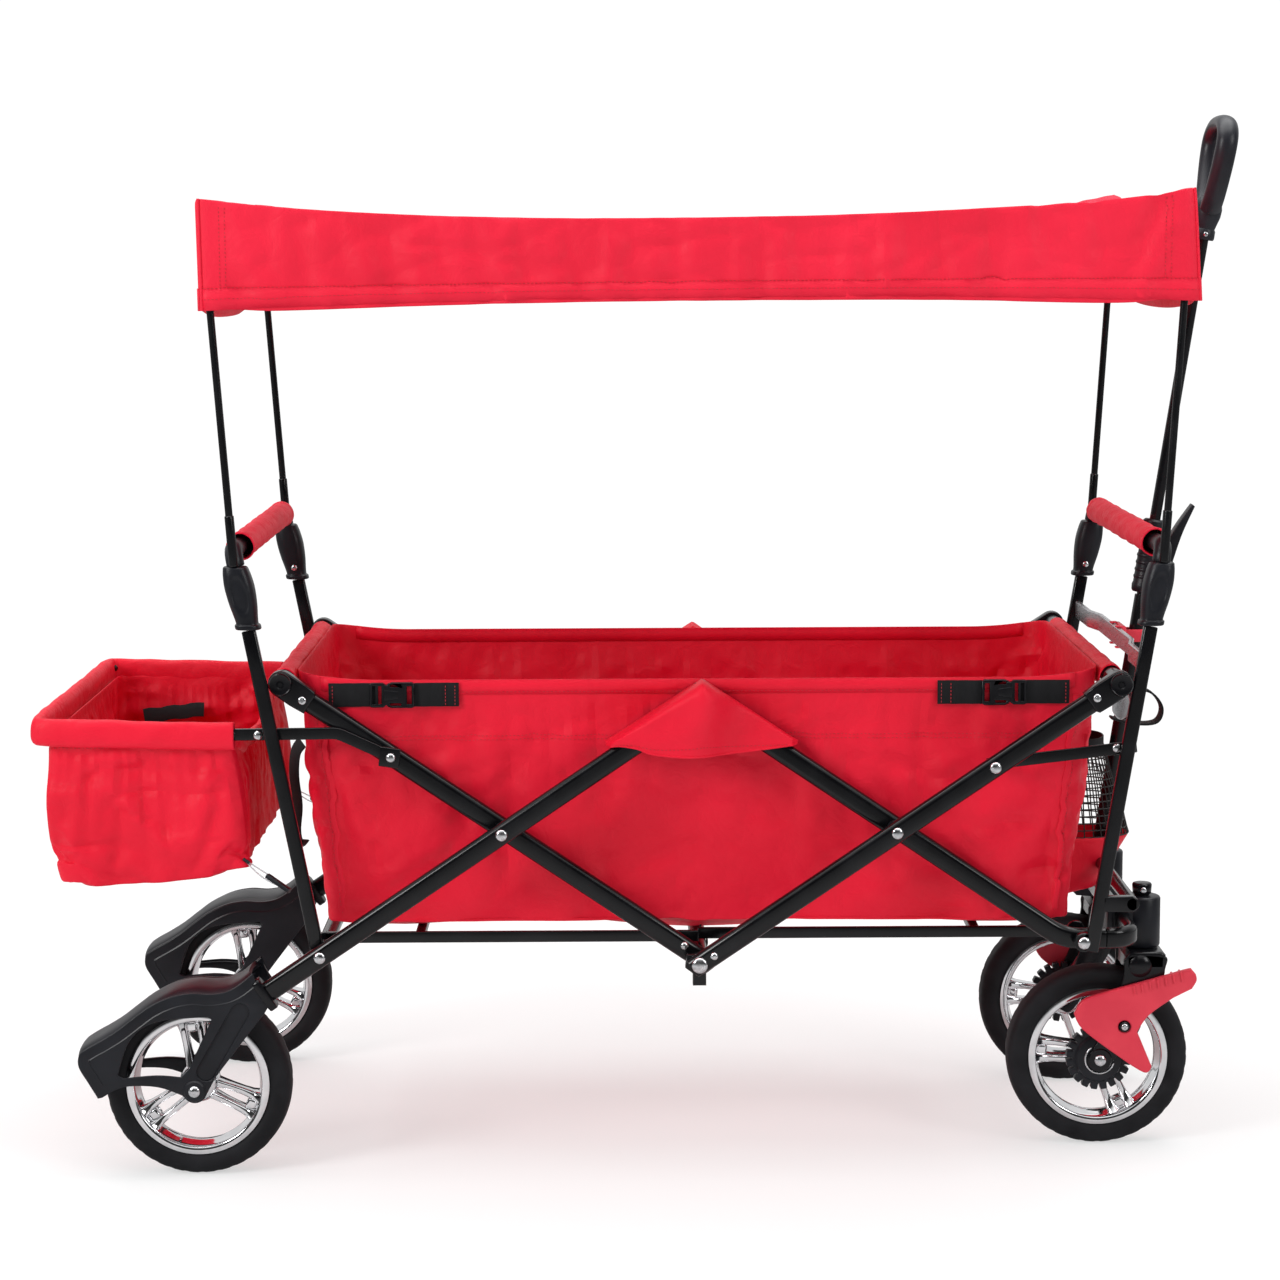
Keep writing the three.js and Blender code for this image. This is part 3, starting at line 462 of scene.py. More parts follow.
def moulded_plastic(name, dark, light, rough_low, rough_high, grain=0.18):
    """Moulded plastic with a fine spark-eroded grain and slightly uneven gloss."""
    s = Shader(name)
    fine = s.noise(900.0, 2.0)
    broad = s.noise(22.0, 4.0)
    tone = s.mix(s.ramp(broad, 0.35, 0.65, 0.0, 1.0), dark, light)
    return s.set(Base_Color=tone, Roughness=s.ramp(broad, 0.3, 0.7, rough_low, rough_high),
                 Normal=s.bump(fine, 0.5, grain), Specular_IOR_Level=0.3)


def chrome_plate():
    s = Shader("chrome")
    haze = s.noise(60.0, 3.0)
    waves = s.noise(90.0, 1.0)
    tone = s.mix(s.ramp(haze, 0.4, 0.6, 0.0, 1.0), rgb(0.80, 0.81, 0.83), rgb(0.90, 0.90, 0.92))
    return s.set(Base_Color=tone, Metallic=1.0, Roughness=s.ramp(haze, 0.3, 0.7, 0.05, 0.13),
                 Normal=s.bump(waves, 0.12, 0.4))


def brushed_bar():
    s = Shader("silver_bar")
    lines = s.noise(120.0, 4.0, s.scaled(1.0, 1.0, 14.0))
    tone = s.mix(s.ramp(lines, 0.3, 0.7, 0.0, 1.0), rgb(0.52, 0.53, 0.55), rgb(0.74, 0.75, 0.77))
    return s.set(Base_Color=tone, Metallic=1.0, Roughness=s.ramp(lines, 0.3, 0.7, 0.22, 0.4),
                 Normal=s.bump(lines, 0.2, 0.15))


def rivet_steel():
    s = Shader("rivet_steel")
    haze = s.noise(300.0, 3.0)
    tone = s.mix(s.ramp(haze, 0.35, 0.65, 0.0, 1.0), rgb(0.55, 0.56, 0.58), rgb(0.82, 0.83, 0.85))
    return s.set(Base_Color=tone, Metallic=1.0, Roughness=s.ramp(haze, 0.3, 0.7, 0.15, 0.3),
                 Normal=s.bump(haze, 0.2, 0.1))


def tyre_rubber():
    """Matte foam rubber with dust in its pores."""
    s = Shader("tyre")
    pores = s.noise(700.0, 3.0)
    dust = s.noise(30.0, 5.0)
    tone = s.mix(s.ramp(dust, 0.4, 0.75, 0.0, 1.0), rgb(0.005, 0.005, 0.0065), rgb(0.013, 0.013, 0.0155))
    return s.set(Base_Color=tone, Roughness=s.ramp(dust, 0.3, 0.7, 0.55, 0.75), Normal=s.bump(pores, 0.5, 0.3),
                 Specular_IOR_Level=0.22)


def thread_material(name, color):
    s = Shader(name)
    twist = s.noise(1500.0, 2.0)
    tone = s.mix(twist, color, rgb(*(c * 0.7 for c in color[:3])))
    return s.set(Base_Color=tone, Roughness=0.6, Normal=s.bump(twist, 0.5, 0.1))


def clear_plastic(name, clearness):
    """Slightly hazy clear plastic."""
    s = Shader(name)
    haze = s.noise(200.0, 3.0)
    tone = s.mix(haze, rgb(0.80, 0.81, 0.84), rgb(0.92, 0.92, 0.94))
    return s.set(Base_Color=tone, Roughness=s.ramp(haze, 0.3, 0.7, 0.08, 0.22), Transmission_Weight=clearness,
                 IOR=1.45, Normal=s.bump(haze, 0.3, 0.2))


def floor_paint():
    """White sweep that glows a little, so that its far part meets the backdrop without an edge."""
    s = Shader("floor_paint")
    reach = s.node("ShaderNodeVectorMath", {"operation": "LENGTH"}, Vector=s.place).outputs["Value"]
    cloud = s.noise(1.5, 2.0)
    far = s.ramp(s.math("ADD", reach, s.math("MULTIPLY", cloud, 0.1)), 1.0, 3.2, 0.0, 1.0)
    rays = s.node("ShaderNodeLightPath")
    seen = s.math("SUBTRACT", 1.0, s.math("MULTIPLY", rays.outputs["Is Glossy Ray"], 0.75))
    tone = s.mix(far, rgb(0.42, 0.42, 0.42), rgb(0.0, 0.0, 0.0))
    return s.set(Base_Color=tone, Roughness=0.9, Specular_IOR_Level=0.0, Emission_Color=rgb(1.0, 1.0, 1.0),
                 Emission_Strength=s.math("MULTIPLY", s.ramp(far, 0.0, 1.0, 0.56, 1.04), seen))


RED_CLOTH = woven_fabric("red_fabric", rgb(0.74, 0.005, 0.028), rgb(0.62, 0.003, 0.020))
RED_CANOPY = woven_fabric("red_canopy", rgb(0.77, 0.012, 0.042), rgb(0.68, 0.008, 0.032), gloss=0.55)
RED_THREAD = thread_material("red_thread", rgb(0.55, 0.01, 0.025))
DARK_CLOTH = woven_fabric("black_fabric", rgb(0.012, 0.012, 0.014), rgb(0.006, 0.006, 0.007), gloss=0.6)
WEBBING = webbing_material()
BLACK_PAINT = painted_metal()
BLACK_PLASTIC = moulded_plastic("black_plastic", rgb(0.0055, 0.006, 0.0085), rgb(0.010, 0.011, 0.015), 0.3, 0.42)
GLOSS_PLASTIC = moulded_plastic("gloss_plastic", rgb(0.003, 0.003, 0.004), rgb(0.006, 0.006, 0.0075), 0.14, 0.24, 0.06)
RED_PLASTIC = moulded_plastic("red_plastic", rgb(0.60, 0.030, 0.055), rgb(0.68, 0.042, 0.068), 0.32, 0.42)
CHROME = chrome_plate()
SILVER = brushed_bar()
STEEL = rivet_steel()
RUBBER = tyre_rubber()
GLOSS_PAINT = moulded_plastic("gloss_paint", rgb(0.005, 0.005, 0.006), rgb(0.009, 0.009, 0.010), 0.08, 0.16, 0.04)
SOFT_PLASTIC = moulded_plastic("soft_plastic", rgb(0.010, 0.011, 0.015), rgb(0.016, 0.0175, 0.023), 0.3, 0.42, 0.1)
CLEAR_CORD = clear_plastic("clear_cord", 0.75)
CLEAR_PLASTIC = clear_plastic("clear_plastic", 0.85)
MESH_THREAD = thread_material("mesh_thread", rgb(0.012, 0.012, 0.012))


# ---------------------------------------------------------------- places, taken from the frame


def node_points(node):
    return np.array([from_frame(v.co) for v in frame["nodes"][node].data.vertices])


def end_face(node, direction, depth=2.5):
    """Middle of the face that a node turns towards a direction, such as the end of a tube."""
    points = node_points(node)
    reach = points @ np.array(direction, float)
    return points[reach > reach.max() - depth].mean(0)


def middle(node):
    low, high = box_mm(node)
    return (low + high) / 2


HUB = pivot_mm("fold")
TOP = pivot_mm("tub_lift")
REAR_FOOT = pivot_mm("rear_post_pivot")
FRONT_FOOT = pivot_mm("front_post_pivot")
REAR_LINK = pivot_mm("basket_pivot")
FRONT_LINK = pivot_mm("front_link_pivot")
REAR_RAIL = middle("rear_rail")
FRONT_RAIL = middle("front_rail")
SLOPE = (TOP[2] - HUB[2]) / 2 / (FRONT_LINK[0] * (TOP[2] - HUB[2]) / 2 / (FRONT_LINK[2] - HUB[2]))
CROSS_X = (TOP[2] - HUB[2]) / 2 / SLOPE
CROSS_Z = (TOP[2] + HUB[2]) / 2
RISE = math.atan(SLOPE)
UP_FORWARD = np.array([math.cos(RISE), 0, math.sin(RISE)])
UP_BACK = np.array([-math.cos(RISE), 0, math.sin(RISE)])

LEG_END = end_face("rear_leg_right", -UP_FORWARD)
INNER_Y = abs(end_face("rear_brace_tube_right", UP_BACK)[1])
OUTER_Y = abs(LEG_END[1])
POST_Y = abs(end_face("rear_post_right", (0, 0, -1), 4)[1])
LINK_Y = abs(middle("front_link_right")[1])

TUBE = box_section(14, 22, 6.4, 6)
HALF_TUBE = 7
RIVET_RADIUS = 6.2


def tube(points, section=None, side=(0, 1, 0), end=1.4):
    """Sweep whose ends are eased by a small radius."""
    pts = [Vector(p) for p in points]
    first = (pts[1] - pts[0]).normalized()
    last = (pts[-1] - pts[-2]).normalized()
    head = [pts[0], pts[0] + first * end * 0.3, pts[0] + first * end]
    tail = [pts[-1] - last * end, pts[-1] - last * end * 0.3, pts[-1]]
    path = head + pts[1:-1] + tail
    scales = [0.9, 0.97] + [1.0] * (len(path) - 4) + [0.97, 0.9]
    return sweep(path, section or TUBE, side, scales=scales)


def along(a, b, share):
    return tuple(np.array(a) + (np.array(b) - np.array(a)) * share)


# ---------------------------------------------------------------- crossed side tubes


def straight_tube(node, body, start, end):
    mid = [along(start, end, k / 6) for k in range(7)]
    build(node + "_bar", tube(mid), BLACK_PAINT, body, [node])


def pivot_stack(side, x, z):
    """Spacer and inner head of a pivot between the two tube layers."""
    spacer = pin(8.5, side * (INNER_Y + HALF_TUBE), side * (OUTER_Y - HALF_TUBE), x, z, 1.0)
    inner_head = pin(7, side * (INNER_Y - HALF_TUBE - 3), side * (INNER_Y - HALF_TUBE + 1), x, z, 1.0)
    return spacer + inner_head


def crossed_tubes():
    inner_half = np.array([1, INNER_Y, 1])
    for name, side in SIDES:
        for node, body, low_way, high_way in (
                (f"rear_brace_tube_{name}", "rear_brace", -UP_BACK, UP_BACK),
                (f"front_brace_tube_{name}", "front_brace", -UP_FORWARD, UP_FORWARD),
                (f"rear_leg_{name}", "rear_leg", -UP_FORWARD, UP_FORWARD)):
            straight_tube(node, body, end_face(node, low_way), end_face(node, high_way))
        front_leg(name, side)
    del inner_half
    outer = OUTER_Y + HALF_TUBE
    rivets = {"rear_leg": [(-CROSS_X, CROSS_Z), (REAR_FOOT[0], REAR_FOOT[2]), (TOP[0], TOP[2])],
              "front_brace": [(CROSS_X, CROSS_Z), (FRONT_LINK[0], FRONT_LINK[2]), (15, HUB[2] + 10)]}
    for body, places in rivets.items():
        heads = Geo([], [])
        for _, side in SIDES:
            for x, z in places:
                heads = heads + rivet(side, side * outer, x, z, RIVET_RADIUS if abs(x) != 15 else 4.2)
        build(f"{body}_rivets", heads, STEEL, body)
    small = Geo([], [])
    for _, side in SIDES:
        small = small + rivet(side, side * (INNER_Y + HALF_TUBE), -15.5, HUB[2] + 14, 4.2)
    build("rear_brace_rivets", small, STEEL, "rear_brace")
    stacks = {"rear_leg": [(-CROSS_X, CROSS_Z), (TOP[0], TOP[2])], "front_brace": [(CROSS_X, CROSS_Z)]}
    for body, places in stacks.items():
        shape = Geo([], [])
        for _, side in SIDES:
            for x, z in places:
                shape = shape + pivot_stack(side, x, z)
        build(f"{body}_spacers", shape, BLACK_PLASTIC, body)


def front_leg(name, side):
    """Side tube that falls forwards and curves level under the front post."""
    node = f"front_leg_{name}"
    y = side * INNER_Y
    top = end_face(node, UP_BACK)
    low = end_face(node, (1, 0, 0), 1.5)
    level = FRONT_FOOT[2]
    bend_x = 2 * CROSS_X - (level - HUB[2]) / SLOPE
    route = fillet([(top[0], y, top[2]), (bend_x, y, level), (low[0], y, level)], 60, 12)
    build(node + "_bar", tube(route), BLACK_PAINT, "front_leg", [node])
    head = rivet(side, side * (INNER_Y + HALF_TUBE), FRONT_FOOT[0], FRONT_FOOT[2], 6.6, 3.2)
    pin_out = pin(5, side * INNER_Y, side * (POST_Y + 6), FRONT_FOOT[0], FRONT_FOOT[2])
    washer = rivet(side, side * (POST_Y + 5.6), FRONT_FOOT[0], FRONT_FOOT[2], 6.6, 3.0)
    build(f"front_leg_pivot_{name}", head + pin_out + washer, STEEL, "front_leg")


def front_cross_tube():
    low, high = box_mm("front_cross_tube")
    level = FRONT_FOOT[2]
    x = high[0] - HALF_TUBE
    start = low[0]
    y = INNER_Y
    route = fillet([(start, -y, level), (x, -y, level), (x, y, level), (start, y, level)], 26, 12)
    build("front_cross_tube_bar", tube(route, box_section(22, 14, 6.4, 6), (0, 0, 1)), BLACK_PAINT, "front_leg",
          ["front_cross_tube"])


def centre_tube():
    """Lower centre tube with the hinge foot and big rivet at each side."""
    shape = pin(9, -222, 222, HUB[0], HUB[2], 1.0, 40)
    rivets = Geo([], [])
    for _, side in SIDES:
        foot = [(-13, HUB[2] + 8), (13, HUB[2] + 8), (15, HUB[2] - 6), (7, HUB[2] - 12), (7, HUB[2] - 25),
                (-7, HUB[2] - 25), (-7, HUB[2] - 12), (-15, HUB[2] - 6)]
        shape = shape + plate([foot], side * (INNER_Y + 8), side * (OUTER_Y - 8), 1.5)
        shape = shape + pin(5.5, side * 218, side * 272, HUB[0], HUB[2])
        rivets = rivets + rivet(side, side * (OUTER_Y + HALF_TUBE), HUB[0], HUB[2], 8.4, 3.2)
    build("centre_tube", shape, BLACK_PAINT, "centre", ["centre_cross_tube"])
    build("centre_tube_rivets", rivets, STEEL, "centre")


def end_rails():
    for node, body, place, layer in (("rear_rail", "rear_brace", REAR_RAIL, INNER_Y),
                                     ("front_rail", "front_brace", FRONT_RAIL, OUTER_Y)):
        reach = layer - HALF_TUBE
        build(node + "_tube", pin(10, -reach, reach, place[0], place[2], 0.8, 40), BLACK_PAINT, body,
              [node])
        corner_brackets(node, body, place, layer, 1 if place[0] > 0 else -1)


def corner_brackets(node, body, place, layer, way):
    """Moulded bracket that joins a side tube's end to the rail, with its round cap and screw."""
    lean = np.array([-way * math.cos(RISE), math.sin(RISE) * -1])
    across = np.array([-lean[1], lean[0]])
    centre = np.array([place[0], place[2]])

    def at(u, v):
        p = centre + lean * u + across * v
        return (p[0], p[1])

    arc = [at(13.5 * math.cos(a), 13.5 * math.sin(a)) for a in np.linspace(-math.pi / 2, -3 * math.pi / 2, 14)]
    body_outline = arc + [at(20, 13.5), at(34, 12.8), at(37, 9), at(37, -12.8), at(20, -14)]
    for name, side in SIDES:
        inner, outer = side * (layer - 8.5), side * (layer + 8.5)
        shape = plate([body_outline], inner, outer, 2.4, 4)
        cap = lathe([(0.01, 0), (11.4, 0), (12, 0.8), (12, 5.2), (10.8, 6.8), (9.6, 6.2), (4, 6.2), (2.6, 4.6),
                     (0.01, 4.6)], 44, closed=False)
        if side < 0:
            cap = Geo(cap.v * np.array([1, -1, 1]), cap.f)
        shape = shape + cap.moved(place[0], outer - side * 0.5, place[2])
        build(f"{node}_bracket_{name}", shape, GLOSS_PLASTIC, body)
        x, z = at(28, -2)
        screw = rivet(side, outer, x, z, 4.4, 1.8)
        build(f"{node}_screw_{name}", screw + hex_recess(side, outer + side * 2.0, x, z, 1.8), STEEL, body)


def hex_recess(side, y, x, z, radius):
    """Small raised six-sided rim that reads as a screw drive."""
    outer = [(x + radius * 1.25 * math.cos(a), z + radius * 1.25 * math.sin(a))
             for a in np.arange(6) * math.pi / 3]
    inner = [(x + radius * 0.7 * math.cos(a), z + radius * 0.7 * math.sin(a)) for a in np.arange(6) * math.pi / 3]
    return plate([outer, inner], y, y + side * 0.8, 0.12, 1)


# ---------------------------------------------------------------- wheels

RIM_R = 76
FLANGE_R = 67.5
TYRE_R = 98
TYRE_HALF = 20


def rim_ring():
    """Deep barrel with a broad flange on both faces."""
    half = [(76, 3), (75.4, 10), (76.4, 16), (75.2, 18.6), (72, 19.4), (68.4, 19.0), (67.2, 17.6), (66.2, 12),
            (64.6, 7), (63.6, 3)]
    profile = half + [(r, -y) for r, y in reversed(half)]
    return lathe(profile, 128)


def spoke_pair(angle):
    """Two nearly parallel spokes that flare into the barrel."""
    radii = [12, 22, 34, 46, 56, 62, 66]
    width = [8.0, 7.4, 7.0, 7.2, 8.6, 11.0, 15.0]
    depth = [26, 22, 18, 17, 19, 24, 30]
    gap = [6.6, 7.2, 8.2, 9.0, 9.4, 9.6, 9.8]
    pair = Geo([], [])
    for way in (-1, 1):
        rings = []
        for r, w, d, g in zip(radii, width, depth, gap):
            ring = box_section(w, d, min(w, d) * 0.34, 4)
            rings.append(np.array([(r, b, way * g + a) for a, b in ring]))
        pair = pair + loft(rings)
    web = block(54, 66, -9, 9, -6, 6, 3)
    return (pair + web).turned("Y", -angle)


def tyre_sheet():
    """Tyre with two shallow grooves and small shoulder notches."""
    turns = 216
    half = []
    for k in range(9):
        a = math.pi / 2 * k / 8
        half.append((84 + (TYRE_R - 84) * math.sin(a) ** 0.8 if k else 84, TYRE_HALF * math.cos(a) ** 0.62 if k < 8 else 0))
    profile = [(75.6, 16.5), (79, 18.6)] + half
    profile = profile + [(r, -y) for r, y in reversed(profile[:-1])]
    rings = []
    for r, y in profile:
        ring = []
        for i in range(turns):
            a = 2 * math.pi * i / turns
            cut = 0.0
            if r > 93 and abs(y) > 8:
                cut = 0.4 if i % 6 < 2 else 0.0
            if 5 < abs(y) < 9 and r > 95:
                cut = max(cut, 0.5)
            ring.append(((r - cut) * math.cos(a), y, (r - cut) * math.sin(a)))
        rings.append(np.array(ring))
    inner = [(75.6, -8), (75.6, 8)]
    for r, y in inner:
        rings.append(np.array([(r * math.cos(2 * math.pi * i / turns), y, r * math.sin(2 * math.pi * i / turns))
                               for i in range(turns)]))
    return loft(rings, closed=True)


def brake_gear():
    """Toothed brake disc outside a front wheel; drawn towards -y."""
    teeth = 20
    outline = []
    for i in range(teeth):
        for share, r in ((0.0, 28.6), (0.14, 28.8), (0.22, 34.0), (0.3, 35.2), (0.82, 35.2), (0.9, 34.0), (0.98, 28.8)):
            a = 2 * math.pi * (i + share) / teeth
            outline.append((r * math.cos(a), r * math.sin(a)))
    disc = plate([outline], -15, -26, 1.2, 2)
    dome = lathe([(0.01, -26), (25, -26), (26, -26.8), (24, -29.5), (17, -31), (0.01, -31)], 64, closed=False)
    return disc + dome


def ring_clip():
    """Open silver ring pressed into the brake disc's face."""
    path = [(15.4 * math.cos(a), -31.4, 15.4 * math.sin(a)) for a in np.radians(np.linspace(125, 345, 40))]
    return tube(path, round_section(1.25, 10), (0, 1, 0), 0.8)


def wheel(end, name, side, first_angle, geared):
    joint = f"{end}_wheel_spin_{name}"
    centre = pivot_mm(joint)
    if centre[1] * side <= 0:
        centre = middle(f"{end}_wheel_{name}_tyre")
    axle = (centre[0], middle(f"{end}_wheel_{name}_tyre")[1], centre[2])
    body = f"{end}_wheel_{name}"
    metal = rim_ring()
    for k in range(3):
        metal = metal + spoke_pair(first_angle + 120 * k)
    hub = [(5.4, -17), (15, -17), (19, -14), (21, -8), (21, 8), (19, 14), (15, 17), (5.4, 17)]
    metal = metal + lathe(hub, 56)

    def placed(geo):
        return geo.mirrored(side).moved(*axle)

    build(f"{body}_chrome", placed(metal), CHROME, body, [f"{end}_wheel_{name}_rim"], sharp=50)
    build(f"{body}_rubber", placed(tyre_sheet()), RUBBER, body, [f"{end}_wheel_{name}_tyre"], sharp=40)
    if geared:
        build(f"{body}_brake_disc", placed(brake_gear()), BLACK_PLASTIC, body, sharp=30)
        build(f"{body}_ring_clip", placed(ring_clip()), STEEL, body)


# ---------------------------------------------------------------- rear forks

GUARD_HALF = 37


def rear_fork(name, side):
    """Moulded fork: two cheek plates, a crowned mudguard between them and a head on the leg tube."""
    axle = pivot_mm(f"rear_wheel_spin_{name}")
    wheel_y = abs(middle(f"rear_wheel_{name}_tyre")[1])
    ax, az = axle[0], axle[2]
    crown_points = [(ax + 62, az + 127), (ax + 54, az + 120), (ax + 45, az + 113), (ax + 34, az + 107.5),
                    (ax + 18, az + 105), (ax - 2, az + 106), (ax - 24, az + 102), (ax - 46, az + 92),
                    (ax - 64, az + 79), (ax - 81, az + 66), (ax - 97, az + 56), (ax - 113, az + 47),
                    (ax - 121, az + 40), (ax - 122, az + 26), (ax - 112, az + 8), (ax - 102, az - 9)]
    crown = smooth_path(crown_points, 5)
    under = smooth_path([(ax - 96, az - 8), (ax - 74, az + 3), (ax - 40, az + 3), (ax - 14, az - 6)], 5)
    lug = [(ax + 14.5 * math.cos(a), az + 14.5 * math.sin(a)) for a in np.radians(np.linspace(215, 340, 12))]
    leg_front = smooth_path([(ax + 23, az + 13), (ax + 42, az + 38), (ax + 65, az + 68), (ax + 76, az + 82)], 4)
    leg_front = leg_front + [(ax + 82, az + 93), (ax + 70, az + 112)]
    cheek = [(x, z) for x, z in crown] + under + lug + leg_front
    window = (smooth_path([(ax - 80, az + 17), (ax - 66, az + 55), (ax - 38, az + 74), (ax + 16, az + 79)], 6)
              + smooth_path([(ax + 19, az + 76), (ax + 4, az + 44), (ax - 5, az + 24)], 4)
              + smooth_path([(ax - 14, az + 15), (ax - 40, az + 17), (ax - 74, az + 14)], 4))
    slot = slot_outline((ax + 12, az + 20), (ax + 49, az + 84), 9.5)
    inner, outer = wheel_y - GUARD_HALF, OUTER_Y + 8.6
    inset = 1.5
    inner_cheek = plate([offset_outline(cheek, inset), window], -(inner + 0.8), -(inner + 7), 1.8, 3)
    base = plate([offset_outline(cheek, inset + 2), offset_outline(window, -2)], -(outer - 8), -(outer - 3), 0.8, 2)
    face = plate([offset_outline(cheek, inset), window, slot], -(outer - 3.6), -(outer - 0.6), 1.3, 4)
    shape = (inner_cheek + base + face + mudguard_band(crown, inner, outer) + fork_head()
             + pin(11.5, -(outer - 4), -(outer + 1.6), ax, az, 1.6, 40)
             + pin(7, -(inner + 3), -(outer - 3), ax, az))
    build(f"rear_fork_moulding_{name}", shape.mirrored(side), BLACK_PLASTIC, "rear_leg",
          [f"rear_fork_{name}"], sharp=42)
    build(f"rear_axle_rivet_{name}", rivet(-1, -(outer + 1.4), ax, az, 6.4, 3.4).mirrored(side), STEEL, "rear_leg")
    build(f"rear_fork_clamp_{name}", fork_clamp().mirrored(side), GLOSS_PLASTIC, "rear_leg")


def slot_outline(a, b, radius, steps=10):
    """Long round-ended hole between two points."""
    a, b = np.array(a, float), np.array(b, float)
    turn = math.atan2(*(b - a)[::-1])
    out = []
    for centre, start in ((b, turn - math.pi / 2), (a, turn + math.pi / 2)):
        for k in range(steps + 1):
            angle = start + math.pi * k / steps
            out.append((centre[0] + radius * math.cos(angle), centre[1] + radius * math.sin(angle)))
    return out


def offset_outline(points, distance):
    """Closed outline moved inwards by a distance, or outwards if negative, point by point."""
    pts = np.array(points, float)
    area = sum(pts[i - 1][0] * pts[i][1] - pts[i][0] * pts[i - 1][1] for i in range(len(pts)))
    before = pts - np.roll(pts, 1, axis=0)
    after = np.roll(pts, -1, axis=0) - pts
    tangent = before / (np.linalg.norm(before, axis=1, keepdims=True) + 1e-9)
    tangent = tangent + after / (np.linalg.norm(after, axis=1, keepdims=True) + 1e-9)
    tangent = tangent / (np.linalg.norm(tangent, axis=1, keepdims=True) + 1e-9)
    normal = np.stack([-tangent[:, 1], tangent[:, 0]], 1) * (1 if area > 0 else -1)
    return [tuple(p) for p in pts + normal * distance]


def mudguard_band(crown, inner, outer):
    """Crowned cover that rolls over onto both cheeks."""
    pts = np.array(crown[3:-3])
    wide = outer - inner
    rings = []
    for i, p in enumerate(pts):
        before, after = pts[max(i - 1, 0)], pts[min(i + 1, len(pts) - 1)]
        tangent = (after - before) / np.linalg.norm(after - before)
        out = np.array([tangent[1], -tangent[0]])
        if out[1] < 0 and abs(out[0]) < 0.6:
            out = -out
        ring = []
        for depth_in, sign in ((0.0, 1), (4.0, -1)):
            steps = np.linspace(-1, 1, 25)[::sign]
            for t in steps:
                drop = 13 * abs(t) ** 7 + 2.4 * t * t
                y = -(inner + wide / 2) + t * (wide / 2 - depth_in)
                q = p + out * (1.6 - drop - depth_in + (3.4 if sign < 0 and abs(t) > 0.9 else 0))
                ring.append((q[0], y, q[1]))
        rings.append(np.array(ring))
    return loft(rings)


def fork_head():
    """Socket that the leg tube is pushed into."""
    start = LEG_END - UP_FORWARD * 22
    stop = LEG_END + UP_FORWARD * 3
    path = [along(start, stop, k / 4) for k in range(5)]
    return tube([(x, -OUTER_Y, z) for x, _, z in path], box_section(15, 25, 5, 5), (0, 1, 0), 2)


def fork_clamp():
    """Pressed clip that locks the head onto the tube."""
    axle_x = pivot_mm("rear_wheel_spin_right")[0]
    start = LEG_END + UP_FORWARD * ((axle_x + 71 - LEG_END[0]) / UP_FORWARD[0])
    stop = start + UP_FORWARD * 9
    return tube([(start[0], -OUTER_Y, start[2]), (stop[0], -OUTER_Y, stop[2])], box_section(19.5, 37, 5, 5),
                (0, 1, 0), 1.4)


# ---------------------------------------------------------------- casters and brakes


def caster_housing(name, side):
    y = abs(middle(f"caster_housing_{name}")[1])
    low, high = box_mm(f"caster_housing_{name}")
    x = pivot_mm(f"caster_swivel_{name}")[0]
    bottom, top = low[2], high[2]
    sleeve = upright([(8.4, bottom), (18.4, bottom), (19.4, bottom + 1), (20, bottom + 2.5), (20, top - 2.5),
                      (19, top - 0.8), (17.6, top), (8.4, top)], x, -y, 56)
    arm_shape = [(low[0], bottom + 8), (low[0] + 5, bottom + 3), (x - 8, bottom + 1), (x, bottom + 1), (x, top - 1),
                 (x - 12, top - 1), (low[0] + 8, top - 3), (low[0] + 1, top - 12)]
    pocket = [(low[0] + 8, bottom + 14), (x - 22, bottom + 12), (x - 17, bottom + 18), (x - 17, top - 18),
              (x - 24, top - 11), (low[0] + 12, top - 12), (low[0] + 7, top - 18)]
    arm = plate([arm_shape], -(y - 15), -(y + 13), 2, 3)
    frame_face = plate([arm_shape, pocket], -(y + 12), -(y + 16), 1.4, 3)
    build(f"caster_housing_moulding_{name}", (sleeve + arm + frame_face).mirrored(side), BLACK_PLASTIC, "front_leg",
          [f"caster_housing_{name}"])


